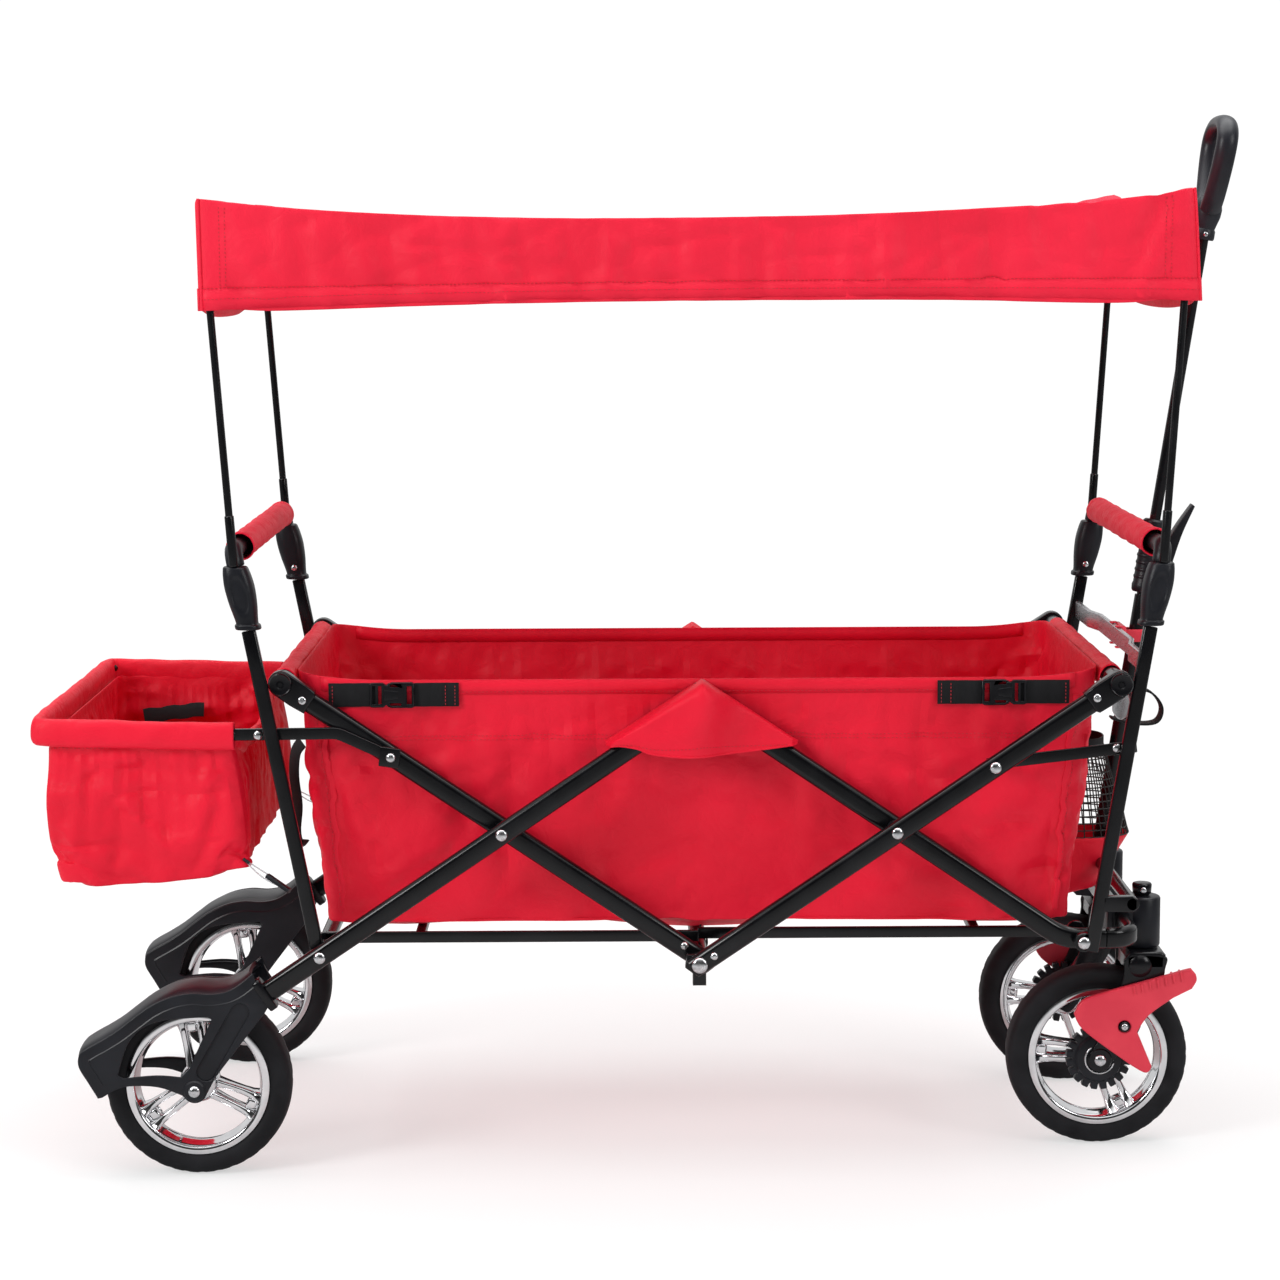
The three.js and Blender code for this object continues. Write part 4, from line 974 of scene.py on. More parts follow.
def caster_fork(name, side):
    """Swivelling fork with its crown, top knob and two legs to the axle."""
    node = f"caster_fork_{name}"
    low, high = box_mm(node)
    y = abs(middle(f"front_wheel_{name}_tyre")[1])
    ax, az = pivot_mm(f"front_wheel_spin_{name}")[[0, 2]]
    x = pivot_mm(f"caster_swivel_{name}")[0]
    seat = box_mm(f"caster_housing_{name}")[0][2]
    leg = smooth_path([(ax - 12, az + 2), (ax - 4, az - 11), (ax + 9, az - 9), (ax + 36, az + 34),
                       (x + 16, az + 84), (x + 21, az + 100), (x + 20, seat - 5), (x - 20, seat - 5),
                       (x - 24, az + 92), (ax + 10, az + 44)], 5, closed=True)
    inner, outer = y - 31, y + 35
    shape = plate([leg], -inner, -(inner + 6.4), 1.8) + plate([leg], -(outer - 7), -outer, 1.8)
    crown = [(x - 22, seat - 20), (x + 21, seat - 20), (x + 21.5, seat - 4), (x + 17, seat - 0.6),
             (x - 17, seat - 0.6), (x - 22, seat - 6)]
    shape = shape + plate([crown], -inner, -outer, 3.2, 5)
    bulge = lathe([(0.01, -outer - 3.4), (6, -outer - 2.8), (11, -outer - 1.2), (13.5, -outer + 1.5)], 40,
                  closed=False).moved(x - 6, 0, seat - 16)
    shape = shape + bulge
    shape = shape + upright([(0.01, seat - 1), (15, seat - 1), (15, seat - 0.3), (8, seat - 0.3), (8, high[2] - 13),
                             (8.8, high[2] - 12.6), (10, high[2] - 11), (10.6, high[2] - 2), (9.6, high[2] - 0.4),
                             (8.4, high[2]), (0.01, high[2])], x, -y, 40)
    shape = shape + pin(5, -inner, -outer, ax, az)
    lug = pin(13, -(outer - 3), -(outer + 1.2), ax, az, 1.4, 40)
    post = pin(5.6, -(outer - 2), -(outer + 10), *pivot_mm(f"brake_{name}")[[0, 2]])
    build(f"caster_fork_moulding_{name}", (shape + lug + post).mirrored(side), GLOSS_PLASTIC, f"caster_{name}",
          [node], sharp=40)
    bx, bz = pivot_mm(f"brake_{name}")[[0, 2]]
    screws = rivet(-1, -(outer + 1.1), ax, az, 6.6, 3.4) + rivet(-1, -(outer + 9.4), bx, bz, 3.8, 1.6)
    screws = screws + hex_recess(-1, -(outer + 11.0), bx, bz, 1.7)
    knob_screw = rivet(-1, -(y + 10.3), x, high[2] - 7, 3.4, 1.2)
    build(f"caster_fork_screws_{name}", (screws + knob_screw).mirrored(side), STEEL, f"caster_{name}")


def brake_pedal(name, side):
    """Red rocker with a ribbed tread and a recessed pivot."""
    node = f"brake_pedal_{name}"
    low, high = box_mm(node)
    px, pz = pivot_mm(f"brake_{name}")[[0, 2]]
    near = min(abs(low[1]), abs(high[1]))
    face = max(abs(low[1]), abs(high[1]))
    near = face - 8
    upper = smooth_path([(px - 54, pz + 14), (px - 46, pz + 28), (px - 27, pz + 36), (px + 20, pz + 49),
                         (px + 62, pz + 61), (px + 71, pz + 63)], 5)
    tip = smooth_path([(px + 76, pz + 57), (px + 77, pz + 50), (px + 72, pz + 41)], 4)
    lower = smooth_path([(px + 52, pz + 31), (px + 26, pz + 12), (px + 14, pz - 6)], 4)
    toe = smooth_path([(px + 30, pz - 44), (px + 28, pz - 49), (px + 22, pz - 51), (px + 8, pz - 43)], 3)
    back = smooth_path([(px - 24, pz - 20), (px - 45, pz - 3), (px - 52, pz + 8)], 3)
    outline = upper + tip + lower + toe + back
    recess = [(px + 6.4 * math.cos(a), pz + 6.4 * math.sin(a)) for a in np.linspace(0, 2 * math.pi, 24, False)]
    shape = plate([outline, recess], -near, -face, 2.2, 4)
    tread_path = [(px + 4 + k * 8.4, pz + 43 + k * 2.35) for k in range(9)]
    tread = [(x, z - 1) for x, z in tread_path] + [(x + 2, z - 14) for x, z in reversed(tread_path)]
    shape = shape + plate([tread], -(near - 9), -(near + 2), 2)
    for k in range(7):
        x, z = px + 8 + k * 8.4, pz + 44.5 + k * 2.35
        rib = plate([[(x, z + 0.6), (x + 1.9, z + 1.1), (x + 3.7, z - 8.6), (x + 1.9, z - 9)]],
                    -(near - 6), -(face + 1.8), 0.5, 2)
        shape = shape + rib
    build(f"brake_pedal_moulding_{name}", shape.mirrored(side), RED_PLASTIC, f"brake_{name}", [node],
          sharp=35)


# ---------------------------------------------------------------- posts, sleeves, bars and rods


class Post:
    """The straight line that a pair of corner posts follows."""

    def __init__(self, end):
        self.end = end
        self.body = f"{end}_posts"
        self.foot = REAR_FOOT if end == "rear" else FRONT_FOOT
        low = end_face(f"{end}_post_right", (0, 0, -1), 4)
        high = end_face(f"{end}_post_right", (0, 0, 1), 4)
        self.low_z, self.high_z = box_mm(f"{end}_post_right")[0][2], box_mm(f"{end}_post_right")[1][2]
        self.lean = (high[0] - low[0]) / (high[2] - low[2])
        self.low = low

    def x(self, z):
        return self.low[0] + self.lean * (z - self.low[2])


def corner_post(post, name, side):
    node = f"{post.end}_post_{name}"
    y = side * POST_Y
    low_z = self_low = post.low[2]
    path = [(post.x(z), y, z) for z in np.linspace(self_low, post.high_z - 0.6, 8)]
    bar = tube(path, box_section(10, 14.5, 2.6, 4), (0, 1, 0), 0.8)
    eye = pin(10, y - 4.5, y + 4.5, post.foot[0], post.foot[2], 0.8, 40)
    lug_x = post.x(post.foot[2])
    lug = plate([[(post.foot[0], post.foot[2] - 9), (lug_x, post.foot[2] - 9), (lug_x, post.foot[2] + 12),
                  (post.foot[0], post.foot[2] + 9)]], y - 4.5, y + 4.5, 0.8) if abs(lug_x - post.foot[0]) > 4 else eye
    build(node + "_bar", bar + eye + lug, BLACK_PAINT, post.body, [node])
    del low_z


def sleeve(post, name, side):
    """Moulded top fitting: flared foot, waist, swelling body and an oval dish on its outer face."""
    node = f"{post.end}_post_sleeve_{name}"
    low, high = box_mm(node)
    z0, z1 = low[2], high[2]
    yc = abs(low[1] + high[1]) / 2
    stations = [(0, 12.2, 13.6), (0.8, 13.2, 14.6), (4.2, 13.2, 14.6), (5.2, 12.2, 13.6), (6.2, 11.4, 13.0),
                (12, 12.0, 13.2), (24, 14.0, 14.2), (36, 15.2, 14.8), (46, 15.4, 15.0), (56, 14.4, 14.4),
                (61, 13.4, 13.6), (64, 12.6, 12.8), (65, 11.4, 11.6)]
    fine = smooth_path(stations, 4)
    scale = (z1 - z0) / 65
    rings = []
    for dz, half_x, half_y in fine:
        z = z0 + dz * scale
        ring = []
        for i in range(64):
            a = 2 * math.pi * i / 64
            ca, sa = math.cos(a), math.sin(a)
            u = half_x * math.copysign(abs(ca) ** 0.72, ca)
            v = half_y * math.copysign(abs(sa) ** 0.72, sa)
            dish = (u / 8.0) ** 2 + ((dz - 36) / 19.0) ** 2
            if v < 0 and dish < 1.25:
                v += 2.0 * min(1, max(0, (1.25 - dish) / 0.4))
            ring.append((post.x(z) + u, -yc + v, z))
        rings.append(np.array(ring))
    build(node + "_moulding", loft(rings).mirrored(side), BLACK_PLASTIC, post.body, [node], sharp=45)
    button_z = z0 + 14
    button = rivet(1, -yc + 13.4, post.x(button_z), button_z, 3.6, 1.6)
    build(node + "_screw", button.mirrored(side), STEEL, post.body)


def push_bar(post):
    node = f"{post.end}_push_bar"
    low, high = box_mm(node)
    y = high[1] - 9.3
    top = high[2] - 9.3
    foot = low[2] - 1
    route = fillet([(post.x(foot), -y, foot), (post.x(top), -y, top), (post.x(top), y, top),
                    (post.x(foot), y, foot)], 13.5, 14)
    build(node + "_tube", tube(route, round_section(9.3, 32), (1, 0, 0)), BLACK_PLASTIC, post.body,
          [node])


def canopy_rod(post, name, side):
    node = f"{post.end}_canopy_rod_{name}"
    low, high = box_mm(node)
    y = side * (abs(low[1] + high[1]) / 2)
    foot = (post.x(low[2]), y, low[2] - 0.5)
    top_face = end_face(node, (0, 0, 1), 1.5)
    bend = node_points(node)
    level = sorted({round(z, 0) for z in bend[:, 2]})
    knee_z = level[len(level) // 2]
    knee = bend[abs(bend[:, 2] - knee_z) < 2].mean(0)
    path = [along(foot, (knee[0], y, knee[2]), k / 8) for k in range(9)] + [(top_face[0], y, top_face[2])]
    rod = tube(path, round_section(3.9, 20), (0, 1, 0), 1.2)
    socket_top = along(foot, (knee[0], y, knee[2]), 0.2)
    socket = tube([foot, along(foot, socket_top, 0.5), socket_top], round_section(4.9, 20), (0, 1, 0), 1.0)
    cap = upright([(0.01, top_face[2] - 6), (4.6, top_face[2] - 6), (4.8, top_face[2] - 1), (3.6, top_face[2] + 0.8),
                   (0.01, top_face[2] + 1)], top_face[0], y, 20)
    build(node + "_bar", rod + socket + cap, BLACK_PAINT, post.body, [node])


def posts():
    for end in ("rear", "front"):
        post = Post(end)
        for name, side in SIDES:
            corner_post(post, name, side)
            sleeve(post, name, side)
            canopy_rod(post, name, side)
        push_bar(post)
        grip_cover(post)


def grip_cover(post):
    """Wrapped fabric cover with a lapped seam below and hemmed ends."""
    node = f"{post.end}_grip_cover"
    low, high = box_mm(node)
    reach = high[1]
    cx, cz = (low[0] + high[0]) / 2, (low[2] + high[2]) / 2
    radius = (high[2] - low[2]) / 2

    def skin(u, v):
        a = 2 * math.pi * u
        y = -reach + 2 * reach * v
        edge = min(v, 1 - v) * 2 * reach
        r = radius + 0.5 * rough((40 * math.cos(a), y, 40 * math.sin(a)), 22, 4) + 0.35 * rough((a * 20, y, 0), 7, 9)
        r += 0.5 * math.sin(y / 9 + 3 * math.sin(a)) * (0.4 + 0.6 * math.sin(a / 2))
        r += 0.9 if edge < 9 else 0.0
        lap = max(0.0, 1 - abs(((u - 0.72) % 1.0)) / 0.04)
        return (cx + (r + lap) * math.cos(a), y, cz + (r + lap) * math.sin(a))

    cover = grid(skin, 64, 150, wrap_u=True)
    build(f"{node}_fabric", cover, RED_CANOPY, post.body, [node], thickness=1.6)
    stitches = Geo([], [])
    for y in (-reach + 7, reach - 7):
        stitches = stitches + stitch_line([(cx + (radius + 1.0) * math.cos(a), y, cz + (radius + 1.0) * math.sin(a))
                                           for a in np.linspace(0, 2 * math.pi, 60)], 3.4)
    build(f"{node}_stitching", stitches, RED_THREAD, post.body)


def stitch_line(points, pitch=4.0, width=0.5, fill=0.62):
    """Row of short threads along a path."""
    pts = np.array(points, float)
    steps = np.linalg.norm(np.diff(pts, axis=0), axis=1)
    run = np.concatenate([[0], np.cumsum(steps)])
    count = max(int(run[-1] / pitch), 1)
    verts, faces = [], []

    def place(distance):
        return np.array([np.interp(distance, run, pts[:, k]) for k in range(3)])

    for i in range(count):
        start = place(run[-1] * i / count)
        stop = place(run[-1] * (i + fill) / count)
        way = (stop - start) / (np.linalg.norm(stop - start) + 1e-9)
        side = np.cross(way, (0.3, 0.5, 0.81))
        side = side / (np.linalg.norm(side) + 1e-9)
        up = np.cross(way, side)
        base = len(verts)
        for centre, size in ((start, 0.35), ((start + stop) / 2, 1.0), (stop, 0.35)):
            for k in range(5):
                a = 2 * math.pi * k / 5
                verts.append(centre + (side * math.cos(a) + up * math.sin(a)) * width * size)
        for j in range(2):
            for k in range(5):
                m = (k + 1) % 5
                faces.append((base + j * 5 + k, base + j * 5 + m, base + (j + 1) * 5 + m, base + (j + 1) * 5 + k))
        faces.append(tuple(base + k for k in range(5)))
        faces.append(tuple(base + 10 + k for k in range(5)))
    return Geo(verts, faces)


# ---------------------------------------------------------------- bars and links under the tub


def rear_cross_tube():
    """Tube between the rear legs' pivots, with its stub ends through the posts."""
    x, _, z = REAR_FOOT
    body = pin(8.5, -(POST_Y - 6), POST_Y - 6, x, z, 1.0, 40)
    stubs = pin(5, -OUTER_Y, OUTER_Y, x, z)
    build("rear_cross_tube_bar", body + stubs, BLACK_PAINT, "rear_leg", ["rear_cross_tube"])


def floor_braces():
    for end, foot, way in (("rear", REAR_FOOT, -1), ("front", FRONT_FOOT, 1)):
        node = f"floor_brace_{end}"
        low, high = box_mm(node)
        points = node_points(node)
        middle_bar = points[abs(points[:, 1]) < high[1] - 8]
        level = (HUB[2] + 23 - 6 + foot[2]) / 2 if False else 246.0
        shape = Geo([], [])
        y = high[1] - 3
        for _, side in SIDES:
            shape = shape + tube([(0, side * y, level), (foot[0], side * y, level)], box_section(6, 12, 1.6), end=0.8)
            shape = shape + pin(13.2 if way < 0 else 9.8, side * (y - 3), side * (y + 3), foot[0], foot[2], 0.6, 40)
        x = (middle_bar[:, 0].min() + middle_bar[:, 0].max()) / 2 if len(middle_bar) else way * 295
        shape = shape + tube([(x, -y, level), (x, y, level)], box_section(10, 10, 1.6), (1, 0, 0), 0.8)
        build(f"{node}_bars", shape, BLACK_PAINT, f"floor_{end}", [node])


def front_links():
    """Flat link from each front side tube to its post, with a dark clevis and a rivet at the post."""
    for name, side in SIDES:
        node = f"front_link_{name}"
        y = side * LINK_Y
        points = node_points(node)
        tip = points[points[:, 0] > points[:, 0].max() - 1].mean(0)
        start = (FRONT_LINK[0] - 6, y, FRONT_LINK[2] - 1)
        end = (tip[0], y, tip[2])
        bar = tube([start, along(start, end, 0.5), end], box_section(4, 12.5, 1.4))
        clevis = pin(7.6, y - side * 2.4, y + side * 3.6, end[0] - 8, end[2] - 0.5, 1.0)
        build(f"{node}_bar", bar + clevis, BLACK_PAINT, "front_links", [node])
        heads = rivet(side, y + side * 2, end[0] - 21, end[2] - 1.5, 4.6, 2.4)
        heads = heads + rivet(side, y + side * 3.4, end[0] - 8, end[2] - 0.5, 2.6, 1.2)
        build(f"{node}_rivets", heads, STEEL, "front_links")


HOOP_LOW, HOOP_HIGH = box_mm("basket_hoop")
ARM_X = -484
ARM_Z = HOOP_HIGH[2] - 12


def basket_hoop():
    """Flat bent arms behind the rear side tubes, carried on as a round hoop."""
    x = HOOP_LOW[0] + 5
    y = LINK_Y
    z = HOOP_HIGH[2] - 5
    hoop = tube(fillet([(ARM_X + 2, -y + 2, ARM_Z), (x, -y + 2, z), (x, y - 2, z), (ARM_X + 2, y - 2, ARM_Z)], 22, 8),
                round_section(5, 20), (0, 0, 1))
    shape = hoop
    rivets = Geo([], [])
    for _, side in SIDES:
        route = fillet([(REAR_LINK[0] + 7, side * y, REAR_LINK[2] - 3), (-375, side * y, ARM_Z + 1),
                        (ARM_X, side * y, ARM_Z)], 26, 6)
        shape = shape + tube(route, box_section(4, 12.5, 1.4))
        clevis = [along((REAR_LINK[0], side * (y + 3.4), REAR_LINK[2]), (ARM_X, side * (y + 3.4), ARM_Z), share)
                  for share in (-0.055, 0.07)]
        shape = shape + tube(clevis, box_section(4, 21, 1.6), end=0.8)
        rivets = rivets + rivet(side, side * (y + 2), -458, ARM_Z - 0.5, 4.8, 2.6)
        rivets = rivets + rivet(side, side * (y + 5.2), REAR_LINK[0], REAR_LINK[2], 5.0, 2.6)
    build("basket_hoop_frame", shape, BLACK_PAINT, "basket", ["basket_hoop"])
    build("basket_hoop_rivets", rivets, STEEL, "basket")


# ---------------------------------------------------------------- pull handle

HANDLE = pivot_mm("pull_handle_swing")
SLIDE_WAY = next(j["axis"] for j in frame["joints"] if j["name"] == "pull_handle_slide")
HANDLE_LEAN = math.degrees(math.atan2(abs(SLIDE_WAY[0]), abs(SLIDE_WAY[2])))


def leaned(geo):
    """A shape drawn with the handle standing up from its pivot, at the handle's rest angle."""
    return geo.turned("Y", HANDLE_LEAN).moved(*HANDLE)


def cross_brace():
    """Flat silver bar between the front posts, stepped forward in the middle, with the red clip on it."""
    low, high = box_mm("front_cross_brace")
    z = (low[2] + high[2]) / 2
    back, front, reach = low[0] + 2.5, high[0] - 2.5, high[1]
    bar = fillet([(back, -reach, z), (back + 0.6, -150, z), (front, -112, z), (front, 112, z), (back + 0.6, 150, z),
                  (back, reach, z)], 14, 6)
    build("front_cross_brace_bar", tube(bar, box_section(20, 5, 1.2), (0, 0, 1), 0.8), SILVER, "front_posts",
          ["front_cross_brace"])
    x = front + 2.7
    jaws = Geo([], [])
    jaws = jaws + block(x, x + 5.4, -24, 24, z - 9, z + 12, 1.8)
    for side in (-1, 1):
        jaws = jaws + block(x + 3, x + 25, side * 9.4, side * 13.2, z - 7, z + 7, 1.4)
        jaws = jaws + block(x + 21, x + 29, side * 8.0, side * 13.4, z - 7, z + 7, 2.2)
        jaws = jaws + block(x - 6.4, x + 1.5, side * 16, side * 23.6, z + 10.4, z + 12.6, 0.8)
        jaws = jaws + block(x - 6.4, x + 1.5, side * 16, side * 23.6, z - 12.6, z - 10.4, 0.8)
    build("handle_clip_moulding", jaws, RED_PLASTIC, "front_posts", ["handle_clip"])


def handle_pivot_bar(post):
    x, _, z = HANDLE
    reach = POST_Y + 5
    shape = pin(7, -reach, reach, x, z, 0.8, 36)
    for _, side in SIDES:
        lug = [(post.x(z) + 3, z - 8), (x, z - 8.5), (x + 5, z - 5), (x + 5, z + 5), (x, z + 8.5), (post.x(z) + 3, z + 8)]
        shape = shape + plate([lug], side * (POST_Y - 5), side * (POST_Y + 5), 1.4)
    build("handle_pivot_tube", shape, BLACK_PAINT, "front_posts", ["handle_pivot_bar"])


def pull_handle():
    outer_end = 385
    eye = pin(12, -10, 10, 0, 0, 1.2, 44)
    stem = upright([(6.5, 11), (8, 9), (8, 300), (6.5, 300)], 0, 0, 40)
    build("pull_tube_outer_stem", leaned(eye + stem), BLACK_PAINT, "pull_handle", ["pull_tube_outer"])
    clamp = upright([(8, 303), (11.4, 303), (12.8, 305), (13.4, 311), (12.4, 314), (12.2, 352), (13.2, 356),
                     (13.4, 376), (12.6, 383), (10.6, outer_end), (6.4, outer_end)], 0, 0, 48)
    lug = block(8, 22, -5, 5, 322, 340, 2.4)
    rib = Geo([], [])
    for k in range(4):
        rib = rib + upright([(12.4, 318 + 8 * k), (13.1, 319 + 8 * k), (13.1, 321 + 8 * k), (12.4, 322 + 8 * k)], 0, 0, 48)
    build("handle_clamp", leaned(clamp + lug + rib), BLACK_PLASTIC, "pull_handle")

    u, s = 18.5, outer_end - 54
    cheek = smooth_path([(u - 4, s - 3), (u, s - 6.4), (u + 6, s - 6.6)], 4)
    blade = smooth_path([(u + 8, s + 14), (u + 13, s + 44), (u + 21.5, s + 75)], 5)
    inner = smooth_path([(u + 18.6, s + 77), (u + 6, s + 52), (u - 2, s + 30), (u - 4.4, s + 10)], 5)
    outline = cheek + blade + inner
    window = [(u - 1.5 + 2.6 * math.cos(a), s + 2.6 * math.sin(a)) for a in np.linspace(0, 2 * math.pi, 20, False)]
    lever = plate([outline, window], -9, -5.6, 1.2) + plate([outline, window], 5.6, 9, 1.2)
    web = [p for p in outline if p[1] > s + 12]
    lever = lever + plate([web], -7, 7, 1.4) + pin(3, -8.6, 8.6, u, s)
    build("handle_lock_lever_blade", leaned(lever), BLACK_PLASTIC, "handle_lock",
          ["handle_lock_lever"])

    start = 708
    inner_tube = upright([(0.01, 58), (6, 58), (6, start - 1), (0.01, start - 1)], 0, 0, 36)
    build("pull_tube_inner_stem", leaned(inner_tube), GLOSS_PAINT, "pull_slide", ["pull_tube_inner"])
    route = smooth_path([(0, -11, start + 22), (0, -25, start + 38), (0, -41, start + 72), (0, -43.5, start + 98),
                         (0, -27, start + 112), (0, 0, start + 115), (0, 27, start + 112), (0, 43.5, start + 98),
                         (0, 41, start + 72), (0, 25, start + 38), (0, 11, start + 22)], 7)
    section = [(11.6 * math.cos(a), 9.4 * math.sin(a)) for a in np.linspace(0, 2 * math.pi, 28, False)]
    loop = sweep(route, section, (1, 0, 0))
    collar = upright([(6.2, start - 12), (10.8, start - 12), (11.8, start - 10), (11.8, start - 2), (10.6, start),
                      (12, start + 5), (14.6, start + 14), (15.2, start + 22), (13.4, start + 31), (8, start + 37),
                      (0.01, start + 38)], 0, 0, 48)
    build("pull_grip_loop", leaned(loop + collar), SOFT_PLASTIC, "pull_slide", ["pull_grip"])
    screw = rivet(-1, -11.6, 0, start - 6, 2.6, 1.0)
    build("pull_grip_screw", leaned(screw), STEEL, "pull_slide")


# ---------------------------------------------------------------- cloth helpers


def weld(geo, distance=0.05):
    """The same sheet with meeting edges joined."""
    mesh = bpy.data.meshes.new("weld")
    mesh.from_pydata([tuple(v) for v in geo.v], [], geo.f)
    shape = bmesh.new()
    shape.from_mesh(mesh)
    bmesh.ops.remove_doubles(shape, verts=shape.verts, dist=distance)
    bmesh.ops.recalc_face_normals(shape, faces=shape.faces)
    joined = Geo([v.co[:] for v in shape.verts], [tuple(v.index for v in f.verts) for f in shape.faces])
    shape.free()
    bpy.data.meshes.remove(mesh)
    return joined


def open_box(edge, nx, ny, nz, side_drop=None):
    """Four walls and the sheet between their lower edges. edge(s, t) is s sides round (0 to 4), t up a wall."""
    def base(u, v):
        south, north = edge(u, 0), edge(3 - u, 0)
        west, east = edge(4 - v, 0), edge(1 + v, 0)
        corners = ((1 - u) * (1 - v) * edge(0, 0) + u * (1 - v) * edge(1, 0)
                   + u * v * edge(2, 0) + (1 - u) * v * edge(3, 0))
        return (1 - v) * south + v * north + (1 - u) * west + u * east - corners

    sheet = grid(base, nx, ny)
    for k in range(4):
        if side_drop != k:
            sheet = sheet + grid(lambda u, v, k=k: edge(k + u, v), nx if k % 2 == 0 else ny, nz)
    return weld(sheet)


def rounded_corner(x, y, half_x, half_y, radius):
    """Moves a point of a rectangle's edge onto its round corner."""
    cx, cy = half_x - radius, half_y - radius
    if abs(x) <= cx or abs(y) <= cy:
        return x, y
    dx, dy = abs(x) - cx, abs(y) - cy
    reach = math.hypot(dx, dy)
    return math.copysign(cx + dx / reach * radius, x), math.copysign(cy + dy / reach * radius, y)


def drape(sheet, hold, slack=0.02, gravity=0.5, frames=26, limit=None, bend=0.4, stiffness=14.0):
    """Cloth simulation of a sheet. hold(point) from 0 to 1 pins it; limit(point, shift) trims the movement."""
    mesh = bpy.data.meshes.new("cloth")
    mesh.from_pydata([tuple(v * MM) for v in sheet.v], [], sheet.f)
    cloth_object = bpy.data.objects.new("cloth", mesh)
    bpy.context.scene.collection.objects.link(cloth_object)
    group = cloth_object.vertex_groups.new(name="held")
    for index, point in enumerate(sheet.v):
        weight = hold(point)
        if weight > 0:
            group.add([index], weight, "REPLACE")
    cloth = cloth_object.modifiers.new("cloth", "CLOTH")
    settings = cloth.settings
    settings.quality = 7
    settings.mass = 0.25
    settings.air_damping = 4.0
    settings.tension_stiffness = settings.compression_stiffness = stiffness
    settings.shear_stiffness = stiffness / 2
    settings.bending_stiffness = bend
    settings.vertex_group_mass = "held"
    settings.shrink_min = -slack
    settings.effector_weights.gravity = gravity
    cloth.collision_settings.use_collision = False
    cloth.collision_settings.use_self_collision = False
    cloth.point_cache.frame_start, cloth.point_cache.frame_end = 1, frames
    for number in range(1, frames + 1):
        bpy.context.scene.frame_set(number)
    solved = cloth_object.evaluated_get(bpy.context.evaluated_depsgraph_get()).data
    shifts = np.array([v.co[:] for v in solved.vertices]) / MM - sheet.v
    bpy.context.scene.frame_set(1)
    bpy.data.objects.remove(cloth_object)
    bpy.data.meshes.remove(mesh)
    if limit:
        shifts = np.array([limit(p, s) for p, s in zip(sheet.v, shifts)])
    return Geo(sheet.v + shifts, sheet.f)


def soft_cap(value, low, high):
    """value pressed smoothly between two limits."""
    return high * math.tanh(value / high) if value > 0 else low * math.tanh(value / low)


def laid_on(sheet, path, out, lift=0.9):
    """Path moved onto a sheet and lifted off it towards out."""
    tree = BVHTree.FromPolygons([tuple(v) for v in sheet.v], sheet.f)
    placed = []
    for point in path:
        spot, normal, _, _ = tree.find_nearest(Vector(point))
        way = normal if normal.dot(Vector(out)) > 0 else -normal
        placed.append(tuple(spot + way * lift))
    return placed


def line(a, b, count=60):
    return [along(a, b, k / count) for k in range(count + 1)]


def strap(path, width=25.0, side=(0, 0, 1), thickness=1.8):
    return sweep(path, box_section(width, thickness, 0.7, 2), side)


TUB_SQUASH = {"joint": "fold", "axis": (1, 0, 0), "anchor": (HUB_X, 0, 0.3), "keep": 0.295}
CANOPY_SQUASH = {"joint": "fold", "axis": (1, 0, 0), "anchor": (HUB_X - 0.503, 0, 1.0), "keep": 0.335}
BAG_SQUASH = {"joint": "fold", "axis": (0, 0, 1), "anchor": (HUB_X - 0.58, 0, 0.472), "keep": 0.25}

# ---------------------------------------------------------------- tub

TUB_LOW, TUB_HIGH = box_mm("tub")
TUB_Y = TUB_HIGH[1]
TUB_TOP_X = TUB_HIGH[0]
TUB_FLOOR_X = node_points("tub")[node_points("tub")[:, 2] < TUB_LOW[2] + 2][:, 0].max()
WALL_ROOM = 224.2


def tub_edge(s, t):
    """Wall of the tub: s sides round, t from the floor to the hem."""
    side, share = int(s) % 4, s - int(s)
    if s >= 4:
        side, share = 3, 1.0
    half_x = TUB_FLOOR_X + (TUB_TOP_X - TUB_FLOOR_X) * t
    start, end = ((-1, -1), (1, -1), (1, 1), (-1, 1))[side], ((1, -1), (1, 1), (-1, 1), (-1, -1))[side]
    x = half_x * (start[0] + (end[0] - start[0]) * share)
    y = TUB_Y * (start[1] + (end[1] - start[1]) * share)
    x, y = rounded_corner(x, y, half_x, TUB_Y, 20 + 8 * t)
    low = TUB_LOW[2] + 3 + 12 * (1 - min(1.0, (abs(abs(x) - 150) / 260)) ** 2) * 0.6
    high = TUB_HIGH[2] - 0.5 + 9 * max(0.0, (abs(x) - 330) / 90) ** 2
    z = low + (high - low) * t
    return np.array([x, y, z])


def tub_limit(point, shift):
    if point[2] < TUB_LOW[2] + 16 and abs(point[1]) < TUB_Y - 2:
        shift = shift * 0.35
    sign = math.copysign(1, point[1])
    out = shift[1] * sign
    room = WALL_ROOM - abs(point[1]) - 0.6
    if abs(point[1]) > 120:
        shift[1] = sign * soft_cap(out, -11, max(room, 0.5))
    way = math.copysign(1, point[0])
    shift[0] = way * soft_cap(shift[0] * way, -9, 5)
    return shift


